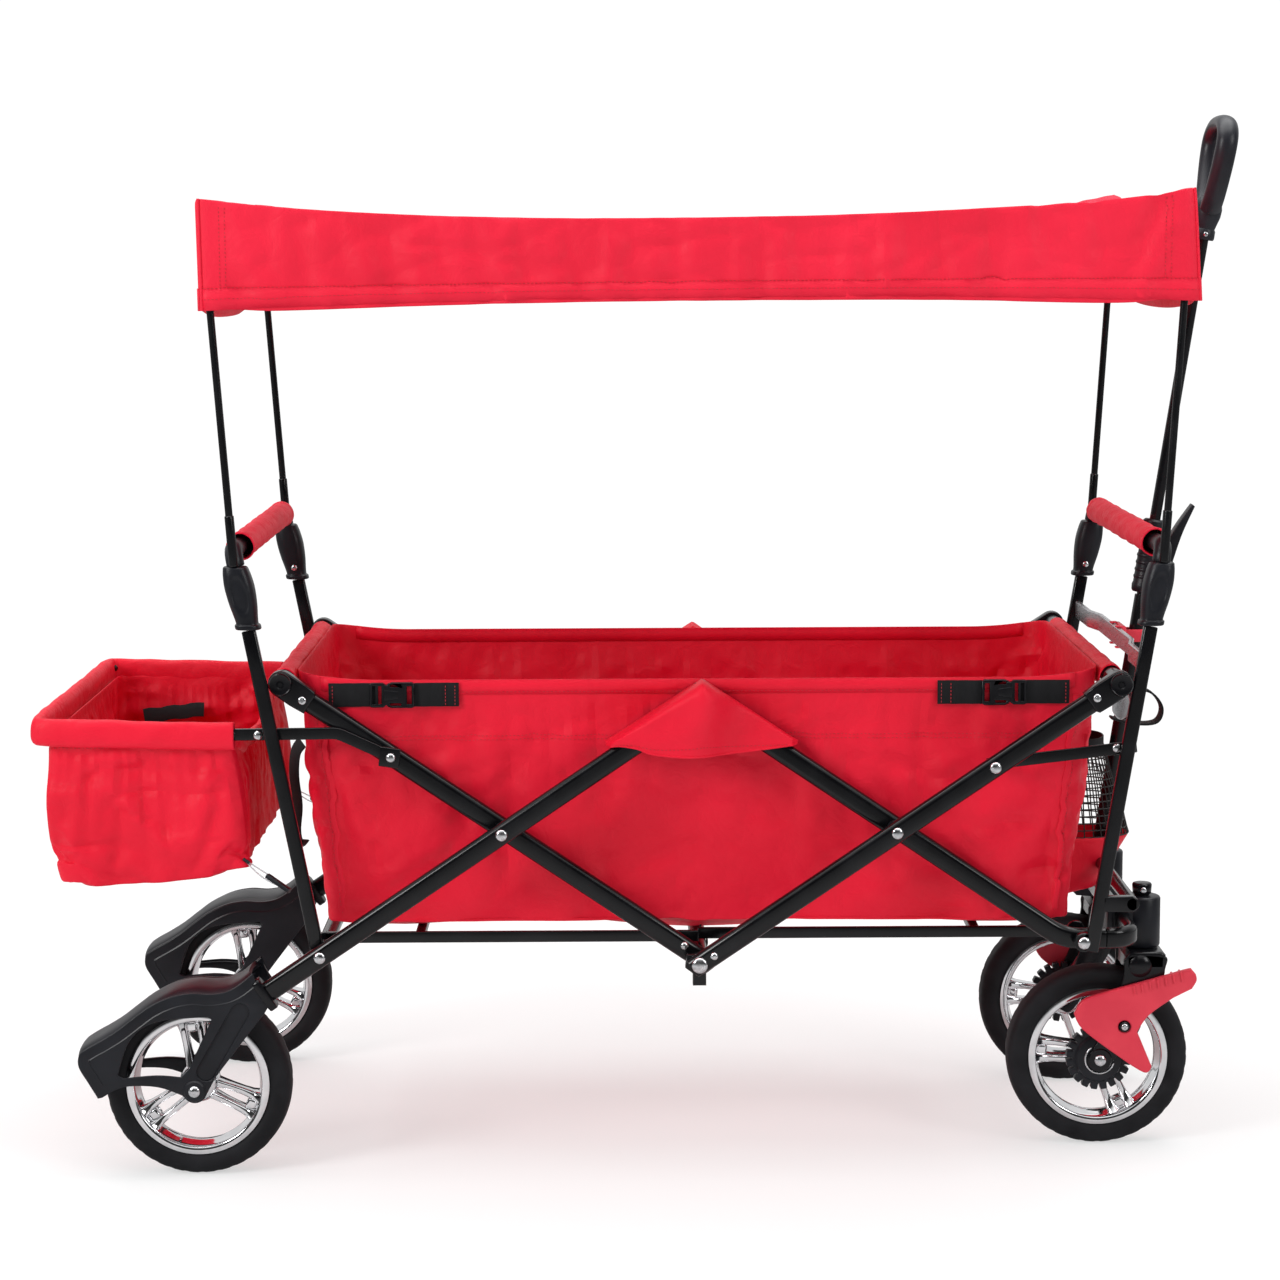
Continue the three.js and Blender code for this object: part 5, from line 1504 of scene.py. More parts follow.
def tub():
    sheet = open_box(tub_edge, 100, 56, 34)

    def hold(p):
        if p[2] > TUB_HIGH[2] - 20:
            return 1.0
        if abs(p[0]) > TUB_FLOOR_X - 14 and abs(p[1]) > TUB_Y - 16:
            return 0.6
        if p[2] < TUB_LOW[2] + 12 and abs(p[0]) < 320 and abs(p[1]) > TUB_Y - 4:
            return 0.35 if int(p[0] / 110) % 2 else 0.0
        return 0.0

    sheet = drape(sheet, hold, slack=0.045, gravity=0.3, frames=30, limit=tub_limit, bend=0.25)

    def creased(p):
        """Soft dents between the tubes, and creases that grow deeper towards the corners."""
        x, y, z = p
        if z < TUB_LOW[2] + 6 and abs(y) < TUB_Y - 4:
            return (x, y, z + 0.8 * rough((x, y, 0), 60, 5))
        face_y = abs(y) > TUB_Y - 14
        dent = 2.4 * rough((x, z * 0.8, math.copysign(60, y)), 46, 2) + 0.9 * rough((x, z, y), 17, 7)
        bend = 20 * rough((x, y, z), 60, 12)
        corner = max(0.0, (abs(x) - 250) / 160)
        ridge = max(0.0, 1 - 7 * abs(rough((x * 0.45 + bend, z + abs(x) * 0.55, y), 38, 17)))
        dent += ridge ** 1.5 * (1.6 + 2.0 * corner)
        fade = min(1.0, max(0.0, (TUB_HIGH[2] - 16 - z) / 30))
        if face_y:
            inward = max(0.0, dent + 0.9) * 2.6 * fade
            y = math.copysign(abs(y) - inward, y)
            y = math.copysign(min(abs(y), WALL_ROOM - 0.8), y)
        else:
            x = math.copysign(abs(x) - max(-1.0, dent) * 1.8 * fade, x)
        return (x, y, z)

    sheet = sheet.warped(creased)
    build("tub_fabric", sheet, RED_CLOTH, "cargo_tub", ["tub"], thickness=1.4, subdivide=1,
          squash=TUB_SQUASH)
    tub_hems(sheet)
    tub_stitching(sheet)
    rail_wraps()


def tub_hems(sheet):
    """Folded top hem inside and outside, and the welts at the four corner seams."""
    bands = Geo([], [])
    for y_side in (-1, 1):
        for layer, offset in ((1, 1.3), (-1, -1.3)):
            rows = []
            for z_drop in (0.4, 8, 15.5):
                path = [(x, y_side * TUB_Y, tub_edge(0.5 + x / (2 * TUB_TOP_X), 1)[2] - z_drop)
                        for x in np.linspace(-TUB_TOP_X + 26, TUB_TOP_X - 26, 90)]
                rows.append([(x, y_side * (TUB_Y + offset), z) for x, _, z in path])
            bands = bands + loft(np.array(rows), caps=False) if False else bands + strip(rows)
    build("tub_top_hem", bands, RED_CLOTH, "cargo_tub", thickness=1.2, squash=TUB_SQUASH)
    welts = Geo([], [])
    for y_side in (-1, 1):
        for x_side in (-1, 1):
            path = []
            for t in np.linspace(0.03, 0.93, 40):
                half_x = TUB_FLOOR_X + (TUB_TOP_X - TUB_FLOOR_X) * t
                wander = 1.2 * math.sin(t * 31) + 0.8 * math.sin(t * 17 + 1)
                path.append((x_side * (half_x - 22 + wander), y_side * TUB_Y, TUB_LOW[2] + 6
                             + (TUB_HIGH[2] - TUB_LOW[2] - 8) * t))
            laid = laid_on(sheet, path, (0, y_side, 0), 0.9)
            welts = welts + sweep(laid, box_section(6.5, 2.0, 0.9, 3), (1, 0, 0))
    build("tub_corner_welts", welts, RED_CLOTH, "cargo_tub", squash=TUB_SQUASH)


def strip(rows):
    """Open sheet through rows of points."""
    columns = len(rows[0])
    verts = [p for row in rows for p in row]
    faces = [(j * columns + i, j * columns + i + 1, (j + 1) * columns + i + 1, (j + 1) * columns + i)
             for j in range(len(rows) - 1) for i in range(columns - 1)]
    return Geo(verts, faces)


def tub_stitching(sheet):
    threads = Geo([], [])
    for y_side in (-1, 1):
        for drop in (13.6, 60.5, 64.5):
            reach = TUB_TOP_X - 34
            path = line((-reach, y_side * TUB_Y, TUB_HIGH[2] - drop), (reach, y_side * TUB_Y, TUB_HIGH[2] - drop), 160)
            laid = laid_on(sheet, path, (0, y_side, 0), 2.6 if drop < 20 else 0.9)
            threads = threads + stitch_line(laid, 4.2, 0.42)
        for x_side in (-1, 1):
            low = (x_side * (TUB_FLOOR_X - 17), y_side * TUB_Y, TUB_LOW[2] + 12)
            high = (x_side * (TUB_TOP_X - 18), y_side * TUB_Y, TUB_HIGH[2] - 20)
            threads = threads + stitch_line(laid_on(sheet, line(low, high), (0, y_side, 0), 0.9), 4.0, 0.42)
    for x_side in (-1, 1):
        path = line((x_side * TUB_TOP_X, -TUB_Y + 34, TUB_HIGH[2] - 62), (x_side * TUB_TOP_X, TUB_Y - 34, TUB_HIGH[2] - 62))
        threads = threads + stitch_line(laid_on(sheet, path, (x_side, 0, 0), 0.9), 4.2, 0.42)
    build("tub_stitching", threads, RED_THREAD, "cargo_tub", squash=TUB_SQUASH)


def rail_wraps():
    """Fabric sleeves that carry the tub's ends over the rails."""
    for place, body, way in ((REAR_RAIL, "rear_brace", -1), (FRONT_RAIL, "front_brace", 1)):
        reach = TUB_Y - 10

        def skin(u, v, place=place, way=way):
            a = math.radians(-70 + 320 * u)
            y = -reach + 2 * reach * v
            r = 11.6 + 0.7 * rough((30 * math.cos(a), y, 30 * math.sin(a)), 26, 3 + way) + 0.5 * math.sin(y / 13 + 2 * a)
            tuck = 5.0 * max(0.0, math.sin(a - math.pi)) if math.sin(a) < 0 else 0.0
            x = place[0] - way * (r * math.cos(a) + 1.0)
            return (x, y, place[2] + r * math.sin(a) - tuck)

        name = "rear" if way < 0 else "front"
        build(f"{name}_rail_wrap", grid(skin, 44, 90), RED_CLOTH, body, thickness=1.2)


def side_flap(name, side):
    """Pentagon of cloth hung over the upper pivot and the crossing tubes."""
    apex, left, right = (4, TUB_HIGH[2] - 0.5), (-97.5, 458), (104, 457)
    lower = smooth_path([(-97.5, 458), (-85, 461), (-65, 458), (-45, 451), (0, 447), (45, 449), (104, 457)], 8)
    lower_x, lower_z = [p[0] for p in lower], [p[1] for p in lower]
    outer_face = OUTER_Y + HALF_TUBE
    crown = outer_face + 6.5

    def cover(u, v):
        """u goes across and v from the top seams to the lower edge."""
        x = left[0] + (right[0] - left[0]) * u
        edge = left if x < apex[0] else right
        top = apex[1] + (edge[1] - apex[1]) * abs(x - apex[0]) / abs(edge[0] - apex[0])
        bottom = float(np.interp(x, lower_x, lower_z))
        ledge = 0.3
        fall = max(0.0, (v - ledge * 0.6) / (1 - ledge * 0.6))
        z = top + (bottom - top) * fall ** 1.15 + 1.5 * math.sin(math.pi * min(1.0, v / ledge))
        rise = math.sin(math.pi / 2 * min(1.0, v / ledge))
        over_rivet = math.exp(-((x - 2) / 24) ** 2) * math.exp(-((z - TOP[2]) / 34) ** 2)
        over_leg = 1 / (1 + math.exp((x - 14) / 10))
        inner_face = INNER_Y + HALF_TUBE + 3.5
        depth = inner_face + (outer_face + 3.2 - inner_face) * over_leg
        depth = depth + (crown - depth) * over_rivet
        depth -= 5 * max(0.0, v - 0.75) * over_leg
        tip = min(1.0, min(x - left[0], right[0] - x) / 7)
        y = 224.6 + (depth - 224.6) * rise * max(tip, 0.0) ** 0.5
        y += (1.3 * rough((x, 0, z), 24, 8) + 0.6 * rough((x, 5, z), 11, 18)) * rise * tip
        return (x, -y, z)

    sheet = weld(grid(cover, 84, 30), 0.02)
    build(f"side_flap_{name}", sheet.mirrored(side), RED_CLOTH, "cargo_tub", thickness=1.3,
          squash=TUB_SQUASH)
    edge = [cover(u, 0.992) for u in np.linspace(0.01, 0.99, 120)]
    inner = [cover(u, 0.9) for u in np.linspace(0.05, 0.95, 120)]
    hem = sweep([(x, y - 0.2, z) for x, y, z in edge], round_section(1.3, 8), (0, 1, 0))
    build(f"side_flap_hem_{name}", hem.mirrored(side), RED_CLOTH, "cargo_tub", squash=TUB_SQUASH)
    threads = stitch_line([(x, y - 0.9, z) for x, y, z in inner], 4.0, 0.42)
    build(f"side_flap_stitching_{name}", threads.mirrored(side), RED_THREAD, "cargo_tub",
          squash=TUB_SQUASH)


def buckle_straps(name, side):
    """Webbing strap with a side-release buckle at each end of a side wall, under the hem."""
    z = TUB_HIGH[2] - 16
    face = -(TUB_Y + 3.0)
    for end, way, reach in (("rear", -1, 400), ("front", 1, 402)):
        inner_x, outer_x = way * 250, way * reach
        buckle_x = way * 316
        webs = Geo([], [])
        pieces = ((inner_x, buckle_x - way * 19), (buckle_x + way * 21, outer_x - way * 14))
        for a, b in pieces:
            path = []
            for k in range(15):
                x = a + (b - a) * k / 14
                path.append((x, face - 0.6 * math.sin(k * 1.3) - 0.4, z - 0.004 * (x - a) ** 2 * 0.02))
            webs = webs + strap(path)
        build(f"{end}_strap_{name}", webs.mirrored(side), WEBBING, "cargo_tub", squash=TUB_SQUASH)
        build(f"{end}_buckle_{name}", buckle(buckle_x, face - 2.2, z, way).mirrored(side), GLOSS_PLASTIC,
              "cargo_tub", squash=TUB_SQUASH)
        thread = Geo([], [])
        for x in (inner_x + way * 4, inner_x + way * 14, outer_x - way * 18):
            thread = thread + stitch_line(line((x, face - 1.7, z - 11), (x, face - 1.7, z + 11), 10), 3.4, 0.5)
        build(f"{end}_strap_stitching_{name}", thread.mirrored(side), RED_THREAD, "cargo_tub",
              squash=TUB_SQUASH)


def buckle(x, y, z, way):
    """Side-release buckle: socket with side windows, plug with its bars, both 27 mm tall."""
    def shape(points):
        return [(x + way * u, z + v) for u, v in points]

    socket = shape([(-20, -12), (-17, -13.5), (4, -13.5), (8, -12), (10, -9.5), (10, 9.5), (8, 12), (4, 13.5),
                    (-17, 13.5), (-20, 12)])
    upper = shape([(-6, 8.5), (5, 8.5), (6, 11), (-5, 11)])
    lower = shape([(-6, -11), (5, -11), (6, -8.5), (-6, -8.5)])
    bar_gap = shape([(-17, -9.5), (-12, -9.5), (-12, 9.5), (-17, 9.5)])
    body = plate([socket, upper, lower, bar_gap], y + 3.4, y - 3.4, 1.3, 3)
    plug = shape([(9, -10), (13, -13), (25, -13), (27, -11.5), (27, 11.5), (25, 13), (13, 13), (9, 10)])
    gap_a = shape([(14.5, -9.5), (18, -9.5), (18, 9.5), (14.5, 9.5)])
    gap_b = shape([(21, -9.5), (24.2, -9.5), (24.2, 9.5), (21, 9.5)])
    tail = plate([plug, gap_a, gap_b], y + 2.6, y - 2.6, 1.0, 3)
    tongue = plate([shape([(-3, -4), (12, -6), (12, 6), (-3, 4)])], y + 2, y - 4.0, 0.9)
    return body + tail + tongue


# ---------------------------------------------------------------- canopy

CANOPY_LOW, CANOPY_HIGH = box_mm("canopy")
CANOPY_Y = CANOPY_HIGH[1]
ROOF_REAR, ROOF_FRONT, ROOF_MID = CANOPY_HIGH[2] - 8, CANOPY_HIGH[2], CANOPY_HIGH[2] - 28
HEM_REAR, HEM_FRONT, HEM_MID = CANOPY_LOW[2], CANOPY_LOW[2] + 6, CANOPY_LOW[2] + 12


def bowed(x, rear, front, mid):
    """Height along the wagon: rear and front values at the ends, mid between them."""
    share = (x - CANOPY_LOW[0]) / (CANOPY_HIGH[0] - CANOPY_LOW[0])
    straight = rear + (front - rear) * share
    sag = (rear + front) / 2 - mid
    return straight - sag * (1 - abs(2 * share - 1) ** 2.4)


def canopy_edge(s, t):
    """Border of the canopy: t is 0 at the roof edge and 1 at the hem."""
    side, share = int(s) % 4, s - int(s)
    if s >= 4:
        side, share = 3, 1.0
    low_x = CANOPY_LOW[0] + (0.0 if t < 0.01 else 2.0 * t) + 1
    high_x = CANOPY_HIGH[0] - 9 + 7.5 * t ** 0.8
    start, end = ((-1, -1), (1, -1), (1, 1), (-1, 1))[side], ((1, -1), (1, 1), (-1, 1), (-1, -1))[side]
    a = start[0] + (end[0] - start[0]) * share
    b = start[1] + (end[1] - start[1]) * share
    centre, half = (low_x + high_x) / 2, (high_x - low_x) / 2
    x, y = rounded_corner(a * half, b * (CANOPY_Y - 1), half, CANOPY_Y - 1, 9)
    x = centre + x
    end_dip = 9 * (1 - (abs(y) / CANOPY_Y) ** 2.5) * (1 if side in (1, 3) else 0)
    top = bowed(x, ROOF_REAR, ROOF_FRONT, ROOF_MID) - end_dip
    bottom = bowed(x, HEM_REAR, HEM_FRONT, HEM_MID)
    return np.array([x, y, top + (bottom - top) * t])


def canopy_limit(point, shift):
    sign = math.copysign(1, point[1])
    if abs(point[1]) > CANOPY_Y - 12:
        shift[1] = sign * soft_cap(shift[1] * sign, -13, 7)
        shift[0] = soft_cap(shift[0], -3, 3)
    shift[2] = soft_cap(shift[2], -14, 8)
    if abs(point[0]) > 480:
        way = math.copysign(1, point[0])
        shift[0] = way * soft_cap(shift[0] * way, -8, 2.5)
    return shift


def canopy():
    sheet = open_box(canopy_edge, 124, 62, 15)

    def hold(p):
        near_end = min(abs(p[0] - CANOPY_LOW[0]), abs(CANOPY_HIGH[0] - p[0]))
        near_side = CANOPY_Y - abs(p[1])
        if near_end < 30 and near_side < 12:
            return 1.0
        if near_end < 14 and near_side < 40:
            return 1.0
        roof = p[2] > bowed(p[0], ROOF_REAR, ROOF_FRONT, ROOF_MID) - 4
        if roof and near_side < 4:
            return 0.55
        return 0.0

    sheet = drape(sheet, hold, slack=0.034, gravity=0.35, frames=30, limit=canopy_limit, bend=0.18)

    def ruffled(p):
        x, y, z = p
        near_end = min(abs(x - CANOPY_LOW[0]), abs(CANOPY_HIGH[0] - x))
        fade = min(1.0, max(0.0, (near_end - 20) / 60))
        wave = 3.2 * rough((x * 0.8 + z * 0.5, y, z * 0.9), 42, 11) + 1.0 * rough((x, y, z), 16, 12)
        bend = 24 * rough((x, y, z), 70, 13)
        ridge = max(0.0, 1 - 6 * abs(rough((x * 0.5 + bend, y * 0.7, z * 1.4 - x * 0.25), 44, 19)))
        wave += 3.4 * ridge ** 1.5
        if abs(y) > CANOPY_Y - 22:
            y = math.copysign(abs(y) - (wave + 0.6) * fade, y)
        else:
            z += wave * 1.2 * fade
        return (x, y, z)

    sheet = sheet.warped(ruffled)
    build("canopy_fabric", sheet, RED_CANOPY, "sun_canopy", ["canopy"], thickness=1.2, subdivide=1,
          squash=CANOPY_SQUASH)
    canopy_trim(sheet)


def canopy_trim(sheet):
    """Folded hem, corner pockets and their double rows of stitching."""
    hem_low, hem_high, threads = Geo([], []), [], Geo([], [])
    loop = np.linspace(0, 4, 400)
    rows = []
    for t in (0.80, 0.9, 1.0):
        path = [canopy_edge(s if s < 4 else 3.9999, t) for s in loop]
        laid = []
        for point in path:
            out = np.array([point[0] - 2, point[1] * 2, 0.0])
            out = (0, math.copysign(1, point[1]), 0) if abs(point[1]) > CANOPY_Y - 12 else (math.copysign(1, point[0]), 0, 0)
            laid.append(laid_on_one(sheet, point, out, 1.2))
        rows.append(laid)
    hem_low = strip(rows)
    build("canopy_hem", hem_low, RED_CANOPY, "sun_canopy", thickness=0.8, squash=CANOPY_SQUASH)
    for row, lift in ((rows[0], 0.6), (rows[1], 0.6)):
        middle_row = [tuple(np.array(p) * 1.0) for p in row]
        threads = threads + stitch_line(pushed_out(middle_row, lift), 4.2, 0.42)
    for y_side in (-1, 1):
        for x_side, end_x in ((-1, CANOPY_LOW[0]), (1, CANOPY_HIGH[0] - 8)):
            for inset in (26, 32):
                x = end_x - x_side * inset
                high = bowed(x, ROOF_REAR, ROOF_FRONT, ROOF_MID) - 5
                low = bowed(x, HEM_REAR, HEM_FRONT, HEM_MID) + 20
                path = line((x, y_side * CANOPY_Y, low), (x, y_side * CANOPY_Y, high), 30)
                threads = threads + stitch_line(laid_on(sheet, path, (0, y_side, 0), 0.9), 4.0, 0.45)
    build("canopy_stitching", threads, RED_THREAD, "sun_canopy", squash=CANOPY_SQUASH)
    welts = Geo([], [])
    for s, y_side in ((1, -1), (0, -1), (2, 1), (3, 1)):
        path = []
        for t in np.linspace(0.0, 1.0, 24):
            x, y, z = canopy_edge(s + 0.003, t)
            path.append((x, y, z))
        welts = welts + sweep(pushed_out(path, 1.0), round_section(1.4, 10), (1, 0, 0))
    build("canopy_corner_piping", welts, RED_CANOPY, "sun_canopy", squash=CANOPY_SQUASH)


def pushed_out(path, distance):
    """Path moved away from the wagon's middle line in the plane of the ground."""
    moved = []
    for x, y, z in path:
        if abs(y) > CANOPY_Y - 14:
            moved.append((x, y + math.copysign(distance, y), z))
        else:
            moved.append((x + math.copysign(distance, x), y, z))
    return moved


TREES = {}


def laid_on_one(sheet, point, out, lift):
    if id(sheet) not in TREES:
        TREES[id(sheet)] = BVHTree.FromPolygons([tuple(v) for v in sheet.v], sheet.f)
    spot, normal, _, _ = TREES[id(sheet)].find_nearest(Vector(point))
    way = normal if normal.dot(Vector(out)) > 0 else -normal
    return tuple(spot + way * lift)


# ---------------------------------------------------------------- rear basket

BAG_LOW, BAG_HIGH = box_mm("basket_bag")
BAG_Y = BAG_HIGH[1]
BAG_TOP = BAG_HIGH[2]
BAG_FRONT_LOW = BAG_HIGH[0]
BAG_FRONT_TOP = ARM_X - 6


def bag_edge(s, t):
    side, share = int(s) % 4, s - int(s)
    if s >= 4:
        side, share = 3, 1.0
    rear_x = BAG_LOW[0] + 8 - 10 * math.sin(math.pi * min(t, 0.8))
    front_x = BAG_FRONT_LOW + 10 + (BAG_FRONT_TOP - BAG_FRONT_LOW - 8) * t
    start, end = ((-1, -1), (1, -1), (1, 1), (-1, 1))[side], ((1, -1), (1, 1), (-1, 1), (-1, -1))[side]
    a = start[0] + (end[0] - start[0]) * share
    b = start[1] + (end[1] - start[1]) * share
    centre, half = (front_x + rear_x) / 2, (front_x - rear_x) / 2
    half_y = BAG_Y + 2 * t - 6 * (1 - t)
    x, y = rounded_corner(a * half, b * half_y, half, half_y, 12)
    x = centre + x
    low = BAG_LOW[2] + 3 + 16 * max(0.0, (x - rear_x) / (front_x - rear_x)) ** 1.3
    dip = 34 * (1 - (abs(y) / half_y) ** 2) if side == 1 else 0.0
    high = BAG_TOP - 4 - dip
    return np.array([x + (4.0 * math.sin(math.pi * t) if side == 1 else 0.0), y, low + (high - low) * t])


def bag_limit(point, shift):
    shift[1] = math.copysign(1, point[1]) * soft_cap(shift[1] * math.copysign(1, point[1]), -14, 6)
    shift[0] = soft_cap(shift[0], -6 if point[0] < -600 else -12, 12 if point[0] < -600 else 7)
    shift[2] = soft_cap(shift[2], -7, 9)
    return shift


def basket():
    sheet = open_box(bag_edge, 40, 80, 32)

    def hold(p):
        if p[2] > BAG_TOP - 14 and p[0] < BAG_FRONT_TOP - 6:
            return 1.0
        if p[2] > BAG_TOP - 60 and p[0] > BAG_FRONT_TOP - 12:
            return 0.7 if abs(p[1]) > 180 else 0.25
        corner = abs(p[1]) > BAG_Y - 26 and (p[0] > BAG_FRONT_LOW - 14 or p[0] < BAG_LOW[0] + 30)
        return 0.8 if corner and p[2] < BAG_LOW[2] + 24 else 0.0

    sheet = drape(sheet, hold, slack=0.08, gravity=0.5, frames=34, limit=bag_limit, bend=0.08, stiffness=10)

    def crumpled(p):
        x, y, z = p
        ridge = 1 - abs(rough((x * 0.9 + z * 0.5, y, z * 0.8 - x * 0.3), 52, 21)) * 3.2
        ridge = max(-0.6, ridge)
        fade = min(1.0, max(0.0, (BAG_TOP - 8 - z) / 26))
        bend = 22 * rough((x, y, z), 60, 23)
        crease = max(0.0, 1 - 6 * abs(rough((x * 0.6 + bend, y * 0.6, z * 1.1 + y * 0.35), 40, 27)))
        under_cuff = math.exp(-((z - BAG_TOP + 44 - 0.05 * (x + 580)) / 9) ** 2)
        push = (5.0 * ridge - 5.0 * crease ** 1.5 - 4.5 * under_cuff + 1.4 * rough((x, y, z), 18, 22)) * fade
        push *= 0.45 if x > -500 else 1.0
        if abs(y) > BAG_Y - 30:
            y = math.copysign(abs(y) - 1.5 + push * 0.9, y)
        else:
            x += push * (0.8 if x > -580 else -0.6)
        return (x, min(max(y, -BAG_Y - 4), BAG_Y + 4), z)

    sheet = sheet.warped(crumpled)
    build("basket_bag_fabric", sheet, RED_CLOTH, "basket", ["basket_bag"], thickness=1.4, subdivide=1,
          squash=BAG_SQUASH)
    cuffs(sheet)
    threads = Geo([], [])
    for y_side in (-1, 1):
        path = line((BAG_LOW[0] + 8, y_side * BAG_Y, BAG_TOP - 17), (BAG_FRONT_TOP - 8, y_side * BAG_Y, BAG_TOP - 17), 50)
        threads = threads + stitch_line(laid_on(sheet, path, (0, y_side, 0), 1.0), 4.2, 0.45)
    path = line((BAG_LOW[0], -BAG_Y + 20, BAG_TOP - 17), (BAG_LOW[0], BAG_Y - 20, BAG_TOP - 17), 60)
    threads = threads + stitch_line(laid_on(sheet, path, (-1, 0, 0), 1.0), 4.2, 0.45)
    build("basket_stitching", threads, RED_THREAD, "basket", squash=BAG_SQUASH)
    strap_path = [(-646 + 7.1 * k, BAG_Y - 20 - 0.8 * math.sin(k), BAG_TOP - 50 + 0.8 * k + 0.8 * math.sin(k * 1.7))
                  for k in range(11)]
    build("basket_inner_strap", strap(strap_path, 17, (0, 0.3, 1)), WEBBING, "basket", squash=BAG_SQUASH)
    basket_cords()


def cuffs(sheet):
    """Sleeves sewn round the hoop on three sides, and the loose rolled edge at the front."""
    x_rear = HOOP_LOW[0] + 5
    mid_z = ARM_Z + 1.5
    def cuff(path, half_w, half_h, seed):
        shaped = smooth_path(path, 14)
        rings = []
        pts = [Vector(p) for p in shaped]
        for i, here in enumerate(pts):
            before, after = pts[max(i - 1, 0)], pts[min(i + 1, len(pts) - 1)]
            tangent = (after - before).normalized()
            up = Vector((0, 0, 1))
            across = tangent.cross(up).normalized()
            ring = []
            for k in range(36):
                a = 2 * math.pi * k / 36
                w = half_w + 1.1 * rough((here.x + 20 * math.cos(a), here.y, 20 * math.sin(a)), 24, seed)
                h = half_h + 1.4 * rough((here.x, here.y + 20 * math.cos(a), 20 * math.sin(a)), 34, seed + 1)
                p = here + across * (w * math.copysign(abs(math.cos(a)) ** 0.8, math.cos(a))) + up * (
                    h * math.copysign(abs(math.sin(a)) ** 0.85, math.sin(a)) - 3.5)
                ring.append(tuple(p))
            rings.append(np.array(ring))
        return loft(rings, caps=False)

    near = LINK_Y - 2
    loop_path = [(ARM_X + 1, -near, mid_z), (-540, -near, mid_z + 1), (-600, -near, mid_z + 2.5),
                 (-652, -near, mid_z + 4), (x_rear + 7, -near + 3, mid_z + 5), (x_rear - 1, -near + 12, mid_z + 5.5),
                 (x_rear - 2, -near + 60, mid_z + 6), (x_rear - 1, -90, mid_z + 6), (x_rear - 2, 0, mid_z + 6),
                 (x_rear - 1, 90, mid_z + 6), (x_rear - 2, near - 60, mid_z + 6), (x_rear - 1, near - 12, mid_z + 5.5),
                 (x_rear + 7, near - 3, mid_z + 5), (-652, near, mid_z + 4), (-600, near, mid_z + 2.5),
                 (-540, near, mid_z + 1), (ARM_X + 1, near, mid_z)]
    build("basket_cuff", cuff(loop_path, 7.6, 14.2, 31), RED_CLOTH, "basket", thickness=1.0,
          squash=BAG_SQUASH)
    roll = []
    for k in range(13):
        y = -BAG_Y + 12 + (2 * BAG_Y - 24) * k / 12
        sag = 34 * (1 - (abs(y) / BAG_Y) ** 2)
        roll.append((BAG_FRONT_TOP - 1 + 3 * math.sin(k), y, BAG_TOP - 3 - sag))
    build("basket_front_roll", cuff(roll, 5.2, 8.6, 41), RED_CLOTH, "basket", thickness=1.0,
          squash=BAG_SQUASH)


def basket_cords():
    """Clear elastic from the bag's front corners to the foot of the rear posts, with black end pieces."""
    cords, ends = Geo([], []), Geo([], [])
    for _, side in SIDES:
        y0, y1 = side * (BAG_Y - 8), side * (POST_Y - 9)
        corner = (BAG_FRONT_LOW + 2, y0, BAG_LOW[2] + 27)
        hook = (-431, y1, 306)
        for offset in (-2.0, 2.0):
            bent = along(corner, hook, 0.5)
            path = [corner, (bent[0] + offset, bent[1], bent[2] - 2 + offset), hook]
            cords = cords + sweep(smooth_path(path, 6), round_section(0.8, 8), (0, 1, 0))
        ends = ends + sweep([corner, along(corner, hook, 0.14)], round_section(1.8, 12), (0, 1, 0))
        ends = ends + sweep([along(corner, hook, 0.55), along(corner, hook, 1.06)], box_section(9, 5, 1.6), (0, 1, 0))
    build("basket_cords", cords, CLEAR_CORD, "basket", squash=BAG_SQUASH)
    build("basket_cord_ends", ends, BLACK_PLASTIC, "basket", squash=BAG_SQUASH)


# ---------------------------------------------------------------- small soft parts on the tub


def hanging_strap():
    """Black strap that hangs behind the tub's rear wall."""
    x = -TUB_TOP_X - 3
    path = smooth_path([(x + 1, -150, 447), (x - 6, -150, 436), (x - 8, -151, 412), (x - 5, -149, 380),
                        (x - 7, -150, 352), (x - 3, -150, 336), (x + 3, -150, 341)], 6)
    build("hanging_strap", strap(path, 22, (0.62, -0.78, 0)), WEBBING, "cargo_tub", squash=TUB_SQUASH)


def webbing_loop():
    """Stiff loop of strap in front of the tub, at the foot of the front rail."""
    x = FRONT_RAIL[0]
    path = smooth_path([(x + 4, -180, 497), (x + 22, -180, 504), (x + 44, -180, 502), (x + 57, -180, 486),
                        (x + 52, -180, 470), (x + 30, -180, 468), (x + 4, -180, 474)], 6)
    build("webbing_loop", strap(path, 22, (0, 1, 0), 2.2), WEBBING, "cargo_tub", squash=TUB_SQUASH)


def hook_plates():
    """Clear plastic tongue below each front rail bracket."""
    x, z = FRONT_RAIL[0], FRONT_RAIL[2]
    shape = smooth_path([(x + 8, z - 4), (x + 14, z - 22), (x + 12, z - 36), (x + 4, z - 41), (x - 4, z - 32),
                         (x - 2, z - 18)], 6, closed=True)
    plates = Geo([], [])
    for _, side in SIDES:
        plates = plates + plate([shape], side * (POST_Y - 9), side * (POST_Y - 6.6), 0.8)
    build("hook_plates", plates, CLEAR_PLASTIC, "front_brace", sharp=60)


